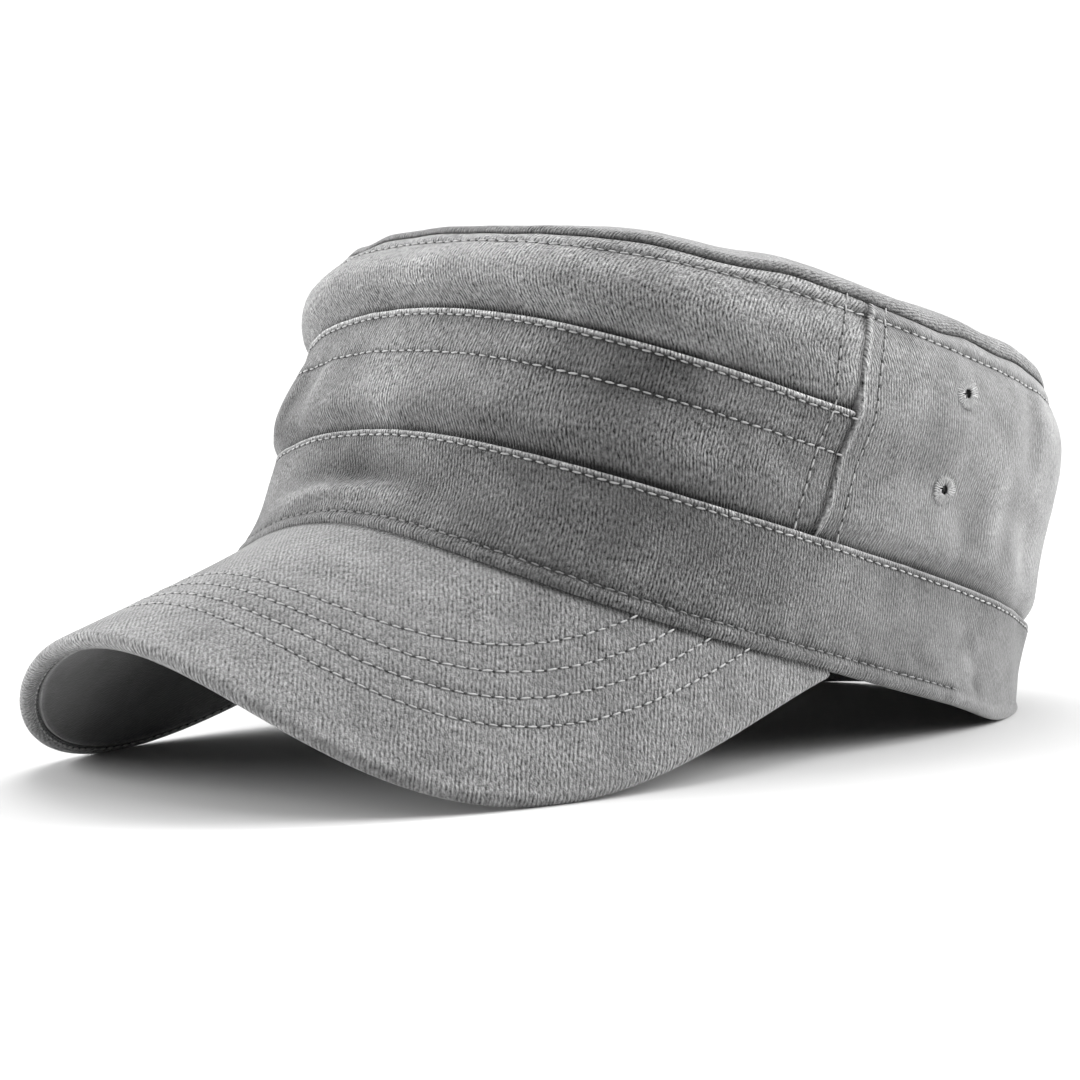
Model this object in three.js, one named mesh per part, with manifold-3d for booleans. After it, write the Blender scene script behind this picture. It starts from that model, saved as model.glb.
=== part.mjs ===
import * as THREE from "three";
import { mergeVertices } from "three/addons/utils/BufferGeometryUtils.js";
import Module from "manifold-3d";

// A washed cotton patrol cap, in millimetres. +X is the wearer's left, the peak points along -Y, +Z is up.
// It is built level, as it is worn, and then tipped on to its rest: the two lobes of the peak and the
// two rear corners of the band. A turn is an angle in degrees round the crown, from the wearer's left
// towards the peak. A level counts the crown's storeys from its foot: the band is 0 to 1, the middle
// panel 1 to 2 and the upper panel 2 to 3.

// Crown, measured on its outside
const HALF_WIDTH = 84.3;
const FRONT_REACH = 102;
const BACK_REACH = 101.5;
const BAND_HEIGHT = 29.4;
const MIDDLE_HEIGHT = 29.3;
const UPPER_HEIGHT = 26.8;
const FRONT_RISE = 14.7;
const DOME_HEIGHT = 12;
const FRONT_ROLL = 1.5;
const BACK_ROLL = 4.5;
const BACK_ARCH = 2.5;

// Cloth
const BAND_WALL = 1.6;
const PANEL_WALL = 1.2;
const LAP = 6;
const GAP = 0.3;
const FOLD_DEPTH = 2;
const CORNER_SAG = 1.8;
const CORNER_TURN = -29;
const CORNER_SPREAD = 9;
const REST_FLAT = 1.2;

// Side seams and air holes
const SEAM_TURN = 16;
const EYELET_TURN = -6;
const EYELET_RADIUS = 4.3;
const EYELET_HOLE = 1.25;
const EYELET_THICKNESS = 2.2;

// Peak: its slope at the front and the turn where its edge meets the crown are in degrees
const PEAK_LENGTH = 68.5;
const PEAK_THICKNESS = 4;
const PEAK_END_THICKNESS = 2.8;
const PEAK_COVER_WALL = 2.5;
const PEAK_RIM = 3.5;
const PEAK_SLOPE = 33;
const PEAK_END_TURN = 9;
const PEAK_SPREAD = 0.83;
const PEAK_DROOP = 2.1;
const PEAK_FULLNESS = 4.8;
const PEAK_SHOULDER = 0.92;

const FABRIC = { color: 0x757575, roughness: 0.92, metalness: 0 };
const THREAD = { color: 0xa3a3a3, roughness: 0.85, metalness: 0 };
const UNDERSIDE = { color: 0x5c5c5c, roughness: 0.95, metalness: 0 };

// Level sections of the crown. width, front and back are shares of its half width and reaches, the two
// rises are shares of FRONT_RISE, arch is the power that sharpens the rise towards the front, and oval is
// the power of the section's outline, where 2 would be an ellipse.
const SECTIONS = [
  { level: 0, width: 1, front: 1, back: 1, frontRise: 1, backRise: 1, arch: 4, oval: 2.46 },
  { level: 0.5, width: 0.976, front: 0.952, back: 1.002, frontRise: 0.82, backRise: 0.4, arch: 3.5, oval: 2.48 },
  { level: 1, width: 0.975, front: 0.935, back: 1.013, frontRise: 0.638, backRise: -0.14, arch: 3.1, oval: 2.48 },
  { level: 1.25, width: 0.994, front: 0.945, back: 1.004, frontRise: 0.643, backRise: -0.1, arch: 2.7, oval: 2.5 },
  { level: 1.65, width: 1.008, front: 0.911, back: 1.007, frontRise: 0.66, backRise: -0.1, arch: 2.5, oval: 2.43 },
  { level: 2, width: 1.033, front: 0.873, back: 0.996, frontRise: 0.734, backRise: 0.04, arch: 2.6, oval: 2.44 },
  { level: 2.3, width: 1.04, front: 0.907, back: 0.992, frontRise: 0.61, backRise: 0.12, arch: 2.5, oval: 2.47 },
  { level: 2.6, width: 1.034, front: 0.901, back: 0.98, frontRise: 0.43, backRise: 0.2, arch: 2.4, oval: 2.44 },
  { level: 3, width: 1, front: 0.833, back: 0.936, frontRise: 0.215, backRise: 0.32, arch: 2.1, oval: 2.3 },
];

// Soft folds of the cloth. lean is the angle from upright in degrees, towards the peak at the top. Length
// and width are shares of the crown's height, and depth is a share of FOLD_DEPTH, outwards where positive.
const FOLDS = [
  { turn: 96, level: 0.36, lean: 90, length: 0.62, width: 0.045, depth: 0.45 },
  { turn: 92, level: 0.58, lean: 90, length: 0.75, width: 0.07, depth: -0.4 },
  { turn: 112, level: 1.36, lean: -32, length: 0.36, width: 0.06, depth: -0.8 },
  { turn: 121, level: 1.45, lean: -28, length: 0.4, width: 0.07, depth: 0.6 },
  { turn: 101, level: 1.3, lean: -50, length: 0.34, width: 0.07, depth: 0.5 },
  { turn: 60, level: 1.35, lean: -55, length: 0.4, width: 0.08, depth: -0.4 },
  { turn: -24.5, level: 2.35, lean: 8, length: 0.55, width: 0.06, depth: -0.75 },
  { turn: -31, level: 1.5, lean: 34, length: 0.45, width: 0.07, depth: -0.8 },
  { turn: -37, level: 2.2, lean: 6, length: 0.6, width: 0.1, depth: 0.35 },
  { turn: -14, level: 1.5, lean: 12, length: 0.45, width: 0.09, depth: -0.5 },
  { turn: -20, level: 0.6, lean: 30, length: 0.3, width: 0.06, depth: -0.45 },
  { turn: -62, level: 1.6, lean: -14, length: 0.7, width: 0.11, depth: -0.7 },
  { turn: -96, level: 2, lean: 9, length: 0.75, width: 0.12, depth: 0.7 },
  { turn: -124, level: 1.5, lean: 20, length: 0.6, width: 0.1, depth: -0.75 },
  { turn: -158, level: 2, lean: -12, length: 0.6, width: 0.09, depth: -0.6 },
];

// Where each air hole sits up the crown
const EYELET_ROWS = [
  { name: "upper", level: 2.51 },
  { name: "lower", level: 1.67 },
];

// How finely each form is divided
const TURN_STEP = 5;
const LEVEL_STEP = 0.2;
const PEAK_COLUMNS = 42;
const PEAK_ROWS = 7;
const DOME_SHARES = [1, 0.994, 0.98, 0.95, 0.85, 0.65, 0.35, 0];
const RING_SIDES = 16;
const RING_SECTION = 8;

const CROWN_HEIGHT = BAND_HEIGHT + MIDDLE_HEIGHT + UPPER_HEIGHT;
const GIRTH_RADIUS = (HALF_WIDTH + (FRONT_REACH + BACK_REACH) / 2) / 2;
const BAND_TOP = 1;
const UPPER_SEAM = 2;
const TOP_SEAM = 3;

const radians = THREE.MathUtils.degToRad;
const degrees = THREE.MathUtils.radToDeg;
const wasm = await Module();
wasm.setup();

// Crown surface

function heightOf(level) {
  const storeys = [BAND_HEIGHT, MIDDLE_HEIGHT, UPPER_HEIGHT];
  let height = 0;
  storeys.forEach((storey, index) => {
    height += storey * THREE.MathUtils.clamp(level - index, 0, 1);
  });
  return height;
}

function slopeAt(index, column) {
  const before = SECTIONS[Math.max(index - 1, 0)];
  const after = SECTIONS[Math.min(index + 1, SECTIONS.length - 1)];
  return (after[column] - before[column]) / (after.level - before.level);
}

// One column of the section table, as a smooth curve through its rows
function sectionValue(level, column) {
  let index = 0;
  while (index < SECTIONS.length - 2 && level > SECTIONS[index + 1].level) {
    index += 1;
  }
  const low = SECTIONS[index];
  const high = SECTIONS[index + 1];
  const span = high.level - low.level;
  const share = (level - low.level) / span;
  const rest = 1 - share;
  const ends = low[column] * (1 + 2 * share) * rest * rest + high[column] * (3 - 2 * share) * share * share;
  const slopes = slopeAt(index, column) * share * rest * rest - slopeAt(index + 1, column) * share * share * rest;
  return ends + slopes * span;
}

function loopPoint(turn, level) {
  const across = Math.cos(radians(turn));
  const ahead = Math.sin(radians(turn));
  const oval = sectionValue(level, "oval");
  const radius = (Math.abs(across) ** oval + Math.abs(ahead) ** oval) ** (-1 / oval);
  const reach = ahead > 0 ? FRONT_REACH * sectionValue(level, "front") : BACK_REACH * sectionValue(level, "back");
  const frontShare = Math.max(ahead, 0) ** sectionValue(level, "arch");
  const backShare = Math.max(-ahead, 0) ** BACK_ARCH;
  const rise = sectionValue(level, "frontRise") * frontShare + sectionValue(level, "backRise") * backShare;
  return new THREE.Vector3(
    HALF_WIDTH * sectionValue(level, "width") * across * radius,
    -reach * ahead * radius,
    heightOf(level) + FRONT_RISE * rise - cornerSag(turn, level),
  );
}

// The soft foot of the band hangs down at its two rear corners
function cornerSag(turn, level) {
  const side = degrees(Math.atan2(Math.sin(radians(turn)), Math.abs(Math.cos(radians(turn)))));
  const spread = (side - CORNER_TURN) / CORNER_SPREAD;
  return CORNER_SAG * Math.exp(-spread * spread) * Math.max(1 - level, 0);
}

// The way out of the wall, level
function outwardAt(turn, level) {
  const step = 0.5;
  const along = loopPoint(turn + step, level).sub(loopPoint(turn - step, level));
  return new THREE.Vector3(-along.y, along.x, 0).normalize();
}

function foldHeight(turn, level) {
  let height = 0;
  for (const fold of FOLDS) {
    const apart = THREE.MathUtils.euclideanModulo(turn - fold.turn + 180, 360) - 180;
    const sideways = radians(apart) * GIRTH_RADIUS;
    const upwards = heightOf(level) - heightOf(fold.level);
    const lean = radians(fold.lean);
    const along = sideways * Math.sin(lean) + upwards * Math.cos(lean);
    const across = sideways * Math.cos(lean) - upwards * Math.sin(lean);
    const reach = Math.min(Math.abs(along) / (fold.length * CROWN_HEIGHT / 2), 1);
    const spread = across / (fold.width * CROWN_HEIGHT);
    height += fold.depth * FOLD_DEPTH * Math.cos(reach * Math.PI / 2) ** 2 * Math.exp(-spread * spread);
  }
  return height;
}

// The wall's outer surface, and points a level inset inside it. Folds fade out at the foot and the top.
function wallPoint(turn, level, inset) {
  const fade = Math.min(level / 0.2, (TOP_SEAM - level) / 0.3, 1);
  const out = foldHeight(turn, level) * fade - inset;
  return loopPoint(turn, level).addScaledVector(outwardAt(turn, level), out);
}

// Closed sheets of cloth

// A closed body between an outer and an inner sheet of points, each point given by column and row. Columns
// run with the turn, rows run up. A ring has no side edges.
function sheetGeometry(columns, rows, outer, inner, ring) {
  const points = [];
  for (const side of [outer, inner]) {
    for (let i = 0; i < columns; i += 1) {
      for (let j = 0; j < rows; j += 1) {
        points.push(...side(i, j).toArray());
      }
    }
  }
  const outerAt = (i, j) => (i % columns) * rows + j;
  const innerAt = (i, j) => columns * rows + outerAt(i, j);
  const faces = [];
  const quad = (a, b, c, d) => faces.push(a, b, c, a, c, d);
  const spans = ring ? columns : columns - 1;
  const last = rows - 1;
  for (let i = 0; i < spans; i += 1) {
    for (let j = 0; j < last; j += 1) {
      quad(outerAt(i, j), outerAt(i, j + 1), outerAt(i + 1, j + 1), outerAt(i + 1, j));
      quad(innerAt(i, j), innerAt(i + 1, j), innerAt(i + 1, j + 1), innerAt(i, j + 1));
    }
    quad(outerAt(i, 0), outerAt(i + 1, 0), innerAt(i + 1, 0), innerAt(i, 0));
    quad(outerAt(i, last), innerAt(i, last), innerAt(i + 1, last), outerAt(i + 1, last));
  }
  if (!ring) {
    const end = columns - 1;
    for (let j = 0; j < last; j += 1) {
      quad(outerAt(0, j), innerAt(0, j), innerAt(0, j + 1), outerAt(0, j + 1));
      quad(outerAt(end, j), outerAt(end, j + 1), innerAt(end, j + 1), innerAt(end, j));
    }
  }
  return closedGeometry(points, faces);
}

function closedGeometry(points, faces) {
  const loose = new THREE.BufferGeometry();
  loose.setAttribute("position", new THREE.Float32BufferAttribute(points, 3));
  loose.setIndex(faces);
  const merged = mergeVertices(loose, 1e-4);
  const kept = [];
  const index = merged.index.array;
  for (let n = 0; n < index.length; n += 3) {
    const [a, b, c] = index.slice(n, n + 3);
    if (a !== b && b !== c && c !== a) {
      kept.push(a, b, c);
    }
  }
  merged.setIndex(kept);
  return merged;
}

// A turn at each end and at each whole step between them, so that neighbouring sheets share their columns
function turnsBetween(start, end) {
  const turns = [start];
  for (let turn = Math.ceil(start / TURN_STEP) * TURN_STEP; turn < end; turn += TURN_STEP) {
    if (turn - start > TURN_STEP / 4 && end - turn > TURN_STEP / 4) {
      turns.push(turn);
    }
  }
  turns.push(end);
  return turns;
}

function levelsBetween(start, end) {
  const count = Math.max(Math.round((end - start) / LEVEL_STEP), 1);
  return Array.from({ length: count + 1 }, (_, n) => start + (end - start) * n / count);
}

// Cloth that is lapped by the cloth below it: it lies inside that wall up to the seam and swells out above
function tuck(level, seam, lappingWall) {
  const above = (heightOf(level) - heightOf(seam)) / LAP;
  return (lappingWall + GAP) * (1 - THREE.MathUtils.smoothstep(above, 0, 1));
}

function panelGeometry(turns, levels, insetAt) {
  const outer = (i, j) => wallPoint(turns[i], levels[j], insetAt(levels[j]));
  const inner = (i, j) => wallPoint(turns[i], levels[j], insetAt(levels[j]) + PANEL_WALL);
  return sheetGeometry(turns.length, levels.length, outer, inner, false);
}

// Pieces of the crown

const bandLapLevel = BAND_TOP - LAP / BAND_HEIGHT;
const upperLapLevel = UPPER_SEAM - LAP / MIDDLE_HEIGHT;
const seamGapTurn = degrees(GAP / 2 / HALF_WIDTH);
const frontTurns = turnsBetween(SEAM_TURN + seamGapTurn, 180 - SEAM_TURN - seamGapTurn);
const backTurns = turnsBetween(180 - SEAM_TURN + seamGapTurn, 360 + SEAM_TURN - seamGapTurn);

function bandGeometry() {
  const turns = turnsBetween(0, 360).slice(0, -1);
  const levels = levelsBetween(0, bandLapLevel).concat(BAND_TOP);
  const outer = (i, j) => wallPoint(turns[i], levels[j], 0);
  const inner = (i, j) => wallPoint(turns[i], levels[j], BAND_WALL);
  return sheetGeometry(turns.length, levels.length, outer, inner, true);
}

function frontMiddleGeometry() {
  const levels = [bandLapLevel].concat(levelsBetween(BAND_TOP, upperLapLevel), UPPER_SEAM);
  return panelGeometry(frontTurns, levels, (level) => tuck(level, BAND_TOP, BAND_WALL));
}

function frontUpperGeometry() {
  const levels = [upperLapLevel].concat(levelsBetween(UPPER_SEAM, TOP_SEAM));
  return panelGeometry(frontTurns, levels, (level) => tuck(level, UPPER_SEAM, PANEL_WALL));
}

function backGeometry() {
  const levels = [bandLapLevel].concat(levelsBetween(BAND_TOP, TOP_SEAM));
  return panelGeometry(backTurns, levels, (level) => tuck(level, BAND_TOP, BAND_WALL));
}

// The top is a lid on the panels' upper edges: a small roll at the rim, then a flat dome
function crownTopGeometry() {
  const turns = turnsBetween(0, 360).slice(0, -1);
  const rims = turns.map((turn) => wallPoint(turn, TOP_SEAM, 0));
  const centre = rims.reduce((sum, rim) => sum.add(rim), new THREE.Vector3()).divideScalar(rims.length);
  const riseAt = (rim, turn, share) => {
    const radius = THREE.MathUtils.lerp(BACK_ROLL, FRONT_ROLL, (1 + Math.sin(radians(turn))) / 2);
    const inward = (1 - share) * Math.hypot(rim.x - centre.x, rim.y - centre.y);
    const short = 1 - Math.min(inward / radius, 1);
    return radius * Math.sqrt(1 - short * short) + (DOME_HEIGHT + FRONT_ROLL - radius) * (1 - share ** 3);
  };
  const surface = (wall) => (i, j) => {
    const share = DOME_SHARES[j];
    const rim = wallPoint(turns[i], TOP_SEAM, wall);
    const rimHeight = centre.z + (rims[i].z - centre.z) * share * share;
    const rise = Math.max(riseAt(rims[i], turns[i], share) - wall, 0);
    const point = new THREE.Vector3().lerpVectors(centre, rim, share);
    return point.setZ(rimHeight + GAP + rise);
  };
  return sheetGeometry(turns.length, DOME_SHARES.length, surface(0), surface(PANEL_WALL), true);
}

// Eyelets and their holes

function ringGeometry() {
  const middle = (EYELET_RADIUS + EYELET_HOLE) / 2;
  const half = (EYELET_RADIUS - EYELET_HOLE) / 2;
  const profile = [];
  for (let n = 0; n <= RING_SECTION; n += 1) {
    const angle = 2 * Math.PI * n / RING_SECTION;
    profile.push(new THREE.Vector2(middle + half * Math.cos(angle), EYELET_THICKNESS / 2 * Math.sin(angle)));
  }
  const lathe = new THREE.LatheGeometry(profile, RING_SIDES);
  lathe.deleteAttribute("normal");
  lathe.deleteAttribute("uv");
  return mergeVertices(lathe, 1e-4);
}

function placeOnWall(object, turn, level) {
  const step = 0.02;
  const up = wallPoint(turn, level + step, 0).sub(wallPoint(turn, level - step, 0));
  const along = wallPoint(turn + 1, level, 0).sub(wallPoint(turn - 1, level, 0));
  const out = up.cross(along).normalize();
  object.position.copy(wallPoint(turn, level, 0)).addScaledVector(out, -PANEL_WALL / 2);
  object.quaternion.setFromUnitVectors(new THREE.Vector3(0, 1, 0), out);
  object.updateMatrix();
}

function eyeletPlaces() {
  const sides = [
    { name: "left", turn: EYELET_TURN },
    { name: "right", turn: 180 - EYELET_TURN },
  ];
  return sides.flatMap((side) =>
    EYELET_ROWS.map((row) => ({ name: `eyelet_${side.name}_${row.name}`, turn: side.turn, level: row.level })),
  );
}

function solidOf(geometry) {
  const bare = new THREE.BufferGeometry();
  bare.setAttribute("position", geometry.getAttribute("position"));
  bare.setIndex(geometry.index);
  const merged = mergeVertices(bare, 1e-4);
  return new wasm.Manifold(new wasm.Mesh({
    numProp: 3,
    vertProperties: new Float32Array(merged.getAttribute("position").array),
    triVerts: new Uint32Array(merged.index.array),
  }));
}

function geometryOf(solid) {
  const mesh = solid.getMesh();
  return closedGeometry(Array.from(mesh.vertProperties), Array.from(mesh.triVerts));
}

function backWithHoles() {
  let solid = solidOf(backGeometry());
  for (const place of eyeletPlaces()) {
    const drill = new THREE.Mesh(
      new THREE.CylinderGeometry(EYELET_RADIUS + GAP, EYELET_RADIUS + GAP, PANEL_WALL * 6, RING_SIDES),
    );
    placeOnWall(drill, place.turn, place.level);
    drill.geometry.applyMatrix4(drill.matrix);
    solid = solid.subtract(solidOf(drill.geometry));
  }
  return geometryOf(solid);
}

// Peak

function peakDirection(turn) {
  const across = Math.cos(radians(turn));
  return new THREE.Vector3(
    PEAK_SPREAD * across,
    -Math.cos(radians(PEAK_SLOPE)),
    -Math.sin(radians(PEAK_SLOPE)) - PEAK_DROOP * across * across,
  ).normalize();
}

function peakWidth(turn) {
  const share = Math.abs(Math.cos(radians(turn))) / Math.cos(radians(PEAK_END_TURN));
  return PEAK_LENGTH * (1 - Math.min(share, 1) ** PEAK_FULLNESS) ** PEAK_SHOULDER;
}

function turnAtWidth(width) {
  const rest = 1 - (width / PEAK_LENGTH) ** (1 / PEAK_SHOULDER);
  return degrees(Math.acos(Math.cos(radians(PEAK_END_TURN)) * rest ** (1 / PEAK_FULLNESS)));
}

// A point a reach out from the crown's foot along the peak, and a depth below its top surface
function peakPoint(turn, reach, depth) {
  const surface = (at) => loopPoint(at, 0).addScaledVector(peakDirection(at), reach);
  const along = surface(turn + 0.5).sub(surface(turn - 0.5));
  const down = peakDirection(turn).cross(along).normalize();
  return surface(turn).addScaledVector(down, depth);
}

// The peak is thinner at its ends, where its stiff core stops. A depth of 1 is its underside there.
function peakDepth(turn, share) {
  const fullness = THREE.MathUtils.smoothstep(peakWidth(turn) / PEAK_LENGTH, 0, 0.6);
  return THREE.MathUtils.lerp(PEAK_END_THICKNESS, PEAK_THICKNESS, fullness) * share;
}

// Turns crowd together towards the ends, where the edge runs up to the crown
function peakTurns() {
  const half = 90 - turnAtWidth(PEAK_RIM / 2);
  return Array.from({ length: PEAK_COLUMNS + 1 }, (_, n) => {
    const share = 2 * n / PEAK_COLUMNS - 1;
    return 90 + half * Math.sin(share * Math.PI / 2);
  });
}

// Reaches in even steps from the rim's inner edge back to the crown
function peakReach(width, rim, row) {
  return GAP + (width - rim - GAP) * (1 - row / PEAK_ROWS);
}

// The cover wraps over the edge: its rim is as deep as the whole peak, and the lining lies inside the rim
function peakCoverGeometry() {
  const turns = peakTurns();
  const rimRows = 3;
  const rimOf = (width) => Math.min(PEAK_RIM, width / 2);
  const top = (i, j) => {
    const width = peakWidth(turns[i]);
    const rim = rimOf(width);
    const reach = j < rimRows ? width - rim * j / rimRows : peakReach(width, rim, j - rimRows);
    return peakPoint(turns[i], reach, 0);
  };
  const underside = (i, j) => {
    const width = peakWidth(turns[i]);
    const rim = rimOf(width);
    const reach = j < rimRows ? width - rim * (j + 1) / rimRows : peakReach(width, rim, j - rimRows);
    return peakPoint(turns[i], reach, peakDepth(turns[i], j < rimRows ? 1 : PEAK_COVER_WALL / PEAK_THICKNESS));
  };
  return sheetGeometry(turns.length, rimRows + PEAK_ROWS + 1, top, underside, false);
}

function peakLiningGeometry() {
  const narrowest = PEAK_RIM * 2;
  const turns = peakTurns().filter((turn) => peakWidth(turn) > narrowest);
  const at = (share, clearance) => (i, j) => {
    const reach = peakReach(peakWidth(turns[i]), PEAK_RIM + GAP, j);
    return peakPoint(turns[i], reach, peakDepth(turns[i], share) + clearance);
  };
  const top = at(PEAK_COVER_WALL / PEAK_THICKNESS, GAP);
  return sheetGeometry(turns.length, PEAK_ROWS + 1, top, at(1, 0), false);
}

// Rest

function heightsAtTilt(geometry, tilt, keeps) {
  const position = geometry.getAttribute("position");
  const heights = [];
  for (let n = 0; n < position.count; n += 1) {
    if (keeps(position.getY(n))) {
      heights.push(position.getZ(n) * Math.cos(tilt) - position.getY(n) * Math.sin(tilt));
    }
  }
  return heights;
}

// The tilt that brings the peak's lobes level with the back of the band, once its cloth has given way
function restingTilt(band, peak) {
  let low = 0;
  let high = Math.PI / 4;
  for (let n = 0; n < 50; n += 1) {
    const tilt = (low + high) / 2;
    const lobes = Math.min(...heightsAtTilt(peak, tilt, () => true));
    const back = Math.min(...heightsAtTilt(band, tilt, (y) => y > 0));
    if (lobes > back + REST_FLAT) {
      high = tilt;
    } else {
      low = tilt;
    }
  }
  return (low + high) / 2;
}

// The band's cloth is pressed flat where it would go through the surface that the cap lies on
function flattenFoot(band, tilt, lift) {
  const position = band.getAttribute("position");
  for (let n = 0; n < position.count; n += 1) {
    const floor = (position.getY(n) * Math.sin(tilt) - lift) / Math.cos(tilt);
    position.setZ(n, Math.max(position.getZ(n), floor));
  }
}

// The cap

const band = bandGeometry();
const peakCover = peakCoverGeometry();
const tilt = restingTilt(band, peakCover);
const lift = -Math.min(...heightsAtTilt(peakCover, tilt, () => true));
flattenFoot(band, tilt, lift);

const level = new THREE.Group();

function addPiece(name, geometry, look) {
  geometry.computeVertexNormals();
  const mesh = new THREE.Mesh(geometry, new THREE.MeshStandardMaterial(look));
  mesh.name = name;
  level.add(mesh);
  return mesh;
}

addPiece("crown_top", crownTopGeometry(), FABRIC);
addPiece("front_upper_panel", frontUpperGeometry(), FABRIC);
addPiece("front_middle_panel", frontMiddleGeometry(), FABRIC);
addPiece("back_panel", backWithHoles(), FABRIC);
addPiece("band", band, FABRIC);
addPiece("peak_cover", peakCover, FABRIC);
addPiece("peak_lining", peakLiningGeometry(), UNDERSIDE);
for (const place of eyeletPlaces()) {
  placeOnWall(addPiece(place.name, ringGeometry(), THREAD), place.turn, place.level);
}

level.rotation.x = -tilt;
level.position.z = lift;

const cap = new THREE.Group();
cap.add(level);
cap.updateMatrixWorld(true);
const box = new THREE.Box3().setFromObject(cap, true);
level.position.y = -(box.min.y + box.max.y) / 2;

export default cap;
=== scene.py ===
import math

import bmesh
import bpy
import numpy as np
from mathutils import Matrix, Vector


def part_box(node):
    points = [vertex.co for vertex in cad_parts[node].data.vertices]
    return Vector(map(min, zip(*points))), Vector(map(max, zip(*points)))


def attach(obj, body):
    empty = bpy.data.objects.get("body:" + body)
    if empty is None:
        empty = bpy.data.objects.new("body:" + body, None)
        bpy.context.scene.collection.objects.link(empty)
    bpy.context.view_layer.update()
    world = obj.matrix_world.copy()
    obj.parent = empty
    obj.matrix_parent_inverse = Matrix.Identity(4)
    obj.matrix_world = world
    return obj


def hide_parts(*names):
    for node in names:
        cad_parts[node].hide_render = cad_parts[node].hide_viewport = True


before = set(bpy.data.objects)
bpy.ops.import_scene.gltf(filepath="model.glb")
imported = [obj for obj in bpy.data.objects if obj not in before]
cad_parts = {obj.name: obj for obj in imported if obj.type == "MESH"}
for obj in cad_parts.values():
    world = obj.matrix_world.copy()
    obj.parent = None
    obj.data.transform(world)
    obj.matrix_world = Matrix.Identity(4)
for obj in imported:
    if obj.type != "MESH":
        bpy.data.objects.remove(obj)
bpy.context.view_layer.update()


# Front upper panel
# The front of the crown above the upper lapped seam, cut from washed cotton twill. It is sewn to the back
# cloth at the side seams and to the top, and its lower edge is tucked behind the middle panel's fold.

# The cap is built level, as it is worn, in millimetres. A turn is an angle in degrees round the crown,
# from the wearer's left towards the peak, and a height is measured up the crown from its foot.
MM = 0.001
HALF_WIDTH = 84.3
FRONT_REACH = 102.0
BACK_REACH = 101.5
BAND_HEIGHT = 29.4
MIDDLE_HEIGHT = 29.3
UPPER_HEIGHT = 26.8
FRONT_RISE = 14.7
BACK_ARCH = 2.5
CORNER_SAG = 1.8
CORNER_TURN = -29
CORNER_SPREAD = 9
FOLD_DEPTH = 2.0
PANEL_WALL = 1.2
BAND_WALL = 1.6
SEAM_GAP = 0.3
LAP = 6.0
SEAM_TURN = 16
EDGE_ROUND = 0.8
TURN_STEP = 0.5
BACK_CENTRE = -90

BAND_TOP = BAND_HEIGHT
UPPER_SEAM = BAND_TOP + MIDDLE_HEIGHT
TOP_SEAM = UPPER_SEAM + UPPER_HEIGHT
STOREYS = (0, BAND_TOP, UPPER_SEAM, TOP_SEAM)
LEVELS = (0, 1, 2, 3)

# Level sections of the crown, as shares of its half width, its reaches and its front rise. Arch and oval
# are powers: of the rise towards the front, and of the section's outline.
SECTION_COLUMNS = ("level", "width", "front", "back", "front_rise", "back_rise", "arch", "oval")
SECTIONS = (
    (0, 1, 1, 1, 1, 1, 4, 2.46),
    (0.5, 0.976, 0.952, 1.002, 0.82, 0.4, 3.5, 2.48),
    (1, 0.975, 0.935, 1.013, 0.638, -0.14, 3.1, 2.48),
    (1.25, 0.994, 0.945, 1.004, 0.643, -0.1, 2.7, 2.5),
    (1.65, 1.008, 0.911, 1.007, 0.66, -0.1, 2.5, 2.43),
    (2, 1.033, 0.873, 0.996, 0.734, 0.04, 2.6, 2.44),
    (2.3, 1.04, 0.907, 0.992, 0.61, 0.12, 2.5, 2.47),
    (2.6, 1.034, 0.901, 0.98, 0.43, 0.2, 2.4, 2.44),
    (3, 1, 0.833, 0.936, 0.215, 0.32, 2.1, 2.3),
)

# Soft folds: turn, level, lean from upright in degrees, then length and width as shares of the crown's
# height, and depth as a share of the fold depth, outwards where positive.
FOLDS = (
    (96, 0.36, 90, 0.62, 0.045, 0.45),
    (92, 0.58, 90, 0.75, 0.07, -0.4),
    (112, 1.36, -32, 0.36, 0.06, -0.8),
    (121, 1.45, -28, 0.4, 0.07, 0.6),
    (101, 1.3, -50, 0.34, 0.07, 0.5),
    (60, 1.35, -55, 0.4, 0.08, -0.4),
    (-24.5, 2.35, 8, 0.55, 0.06, -0.75),
    (-31, 1.5, 34, 0.45, 0.07, -0.8),
    (-37, 2.2, 6, 0.6, 0.1, 0.35),
    (-14, 1.5, 12, 0.45, 0.09, -0.5),
    (-20, 0.6, 30, 0.3, 0.06, -0.45),
    (-62, 1.6, -14, 0.7, 0.11, -0.7),
    (-96, 2, 9, 0.75, 0.12, 0.7),
    (-124, 1.5, 20, 0.6, 0.1, -0.75),
    (-158, 2, -12, 0.6, 0.09, -0.6),
)

# Sharper creases of the worn cloth: turn, height, lean from upright in degrees, then length, width and
# depth in millimetres, outwards where positive.
CREASES = (
    (94, 11, 92, 66, 2.6, 1.3),
    (88, 16.5, 86, 84, 4.5, -1.1),
    (117, 41, -40, 26, 3, -0.9),
    (108, 44, -35, 24, 3, 0.6),
    (102, 41, -60, 22, 3, -0.5),
    (96, 48, -55, 16, 3, 0.4),
    (70, 34, 80, 60, 5, -0.4),
    (24, 44, 60, 18, 2.5, -0.5),
    (23, 72, 70, 16, 2.5, -0.5),
    (8, 46, -70, 14, 2.5, -0.4),
    (-13, 44, 8, 34, 5, -0.6),
    (-18, 50, 8, 40, 3.5, 0.5),
    (-23, 50, 6, 46, 4, -0.4),
    (-21, 18, 40, 12, 1.6, 0.5),
    (-17, 14, -30, 10, 1.6, -0.4),
    (-8, 8, 75, 16, 2, -0.35),
    (-19, 11, 70, 12, 1.8, 0.5),
    (-22, 7, 20, 10, 1.8, -0.5),
)

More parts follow.
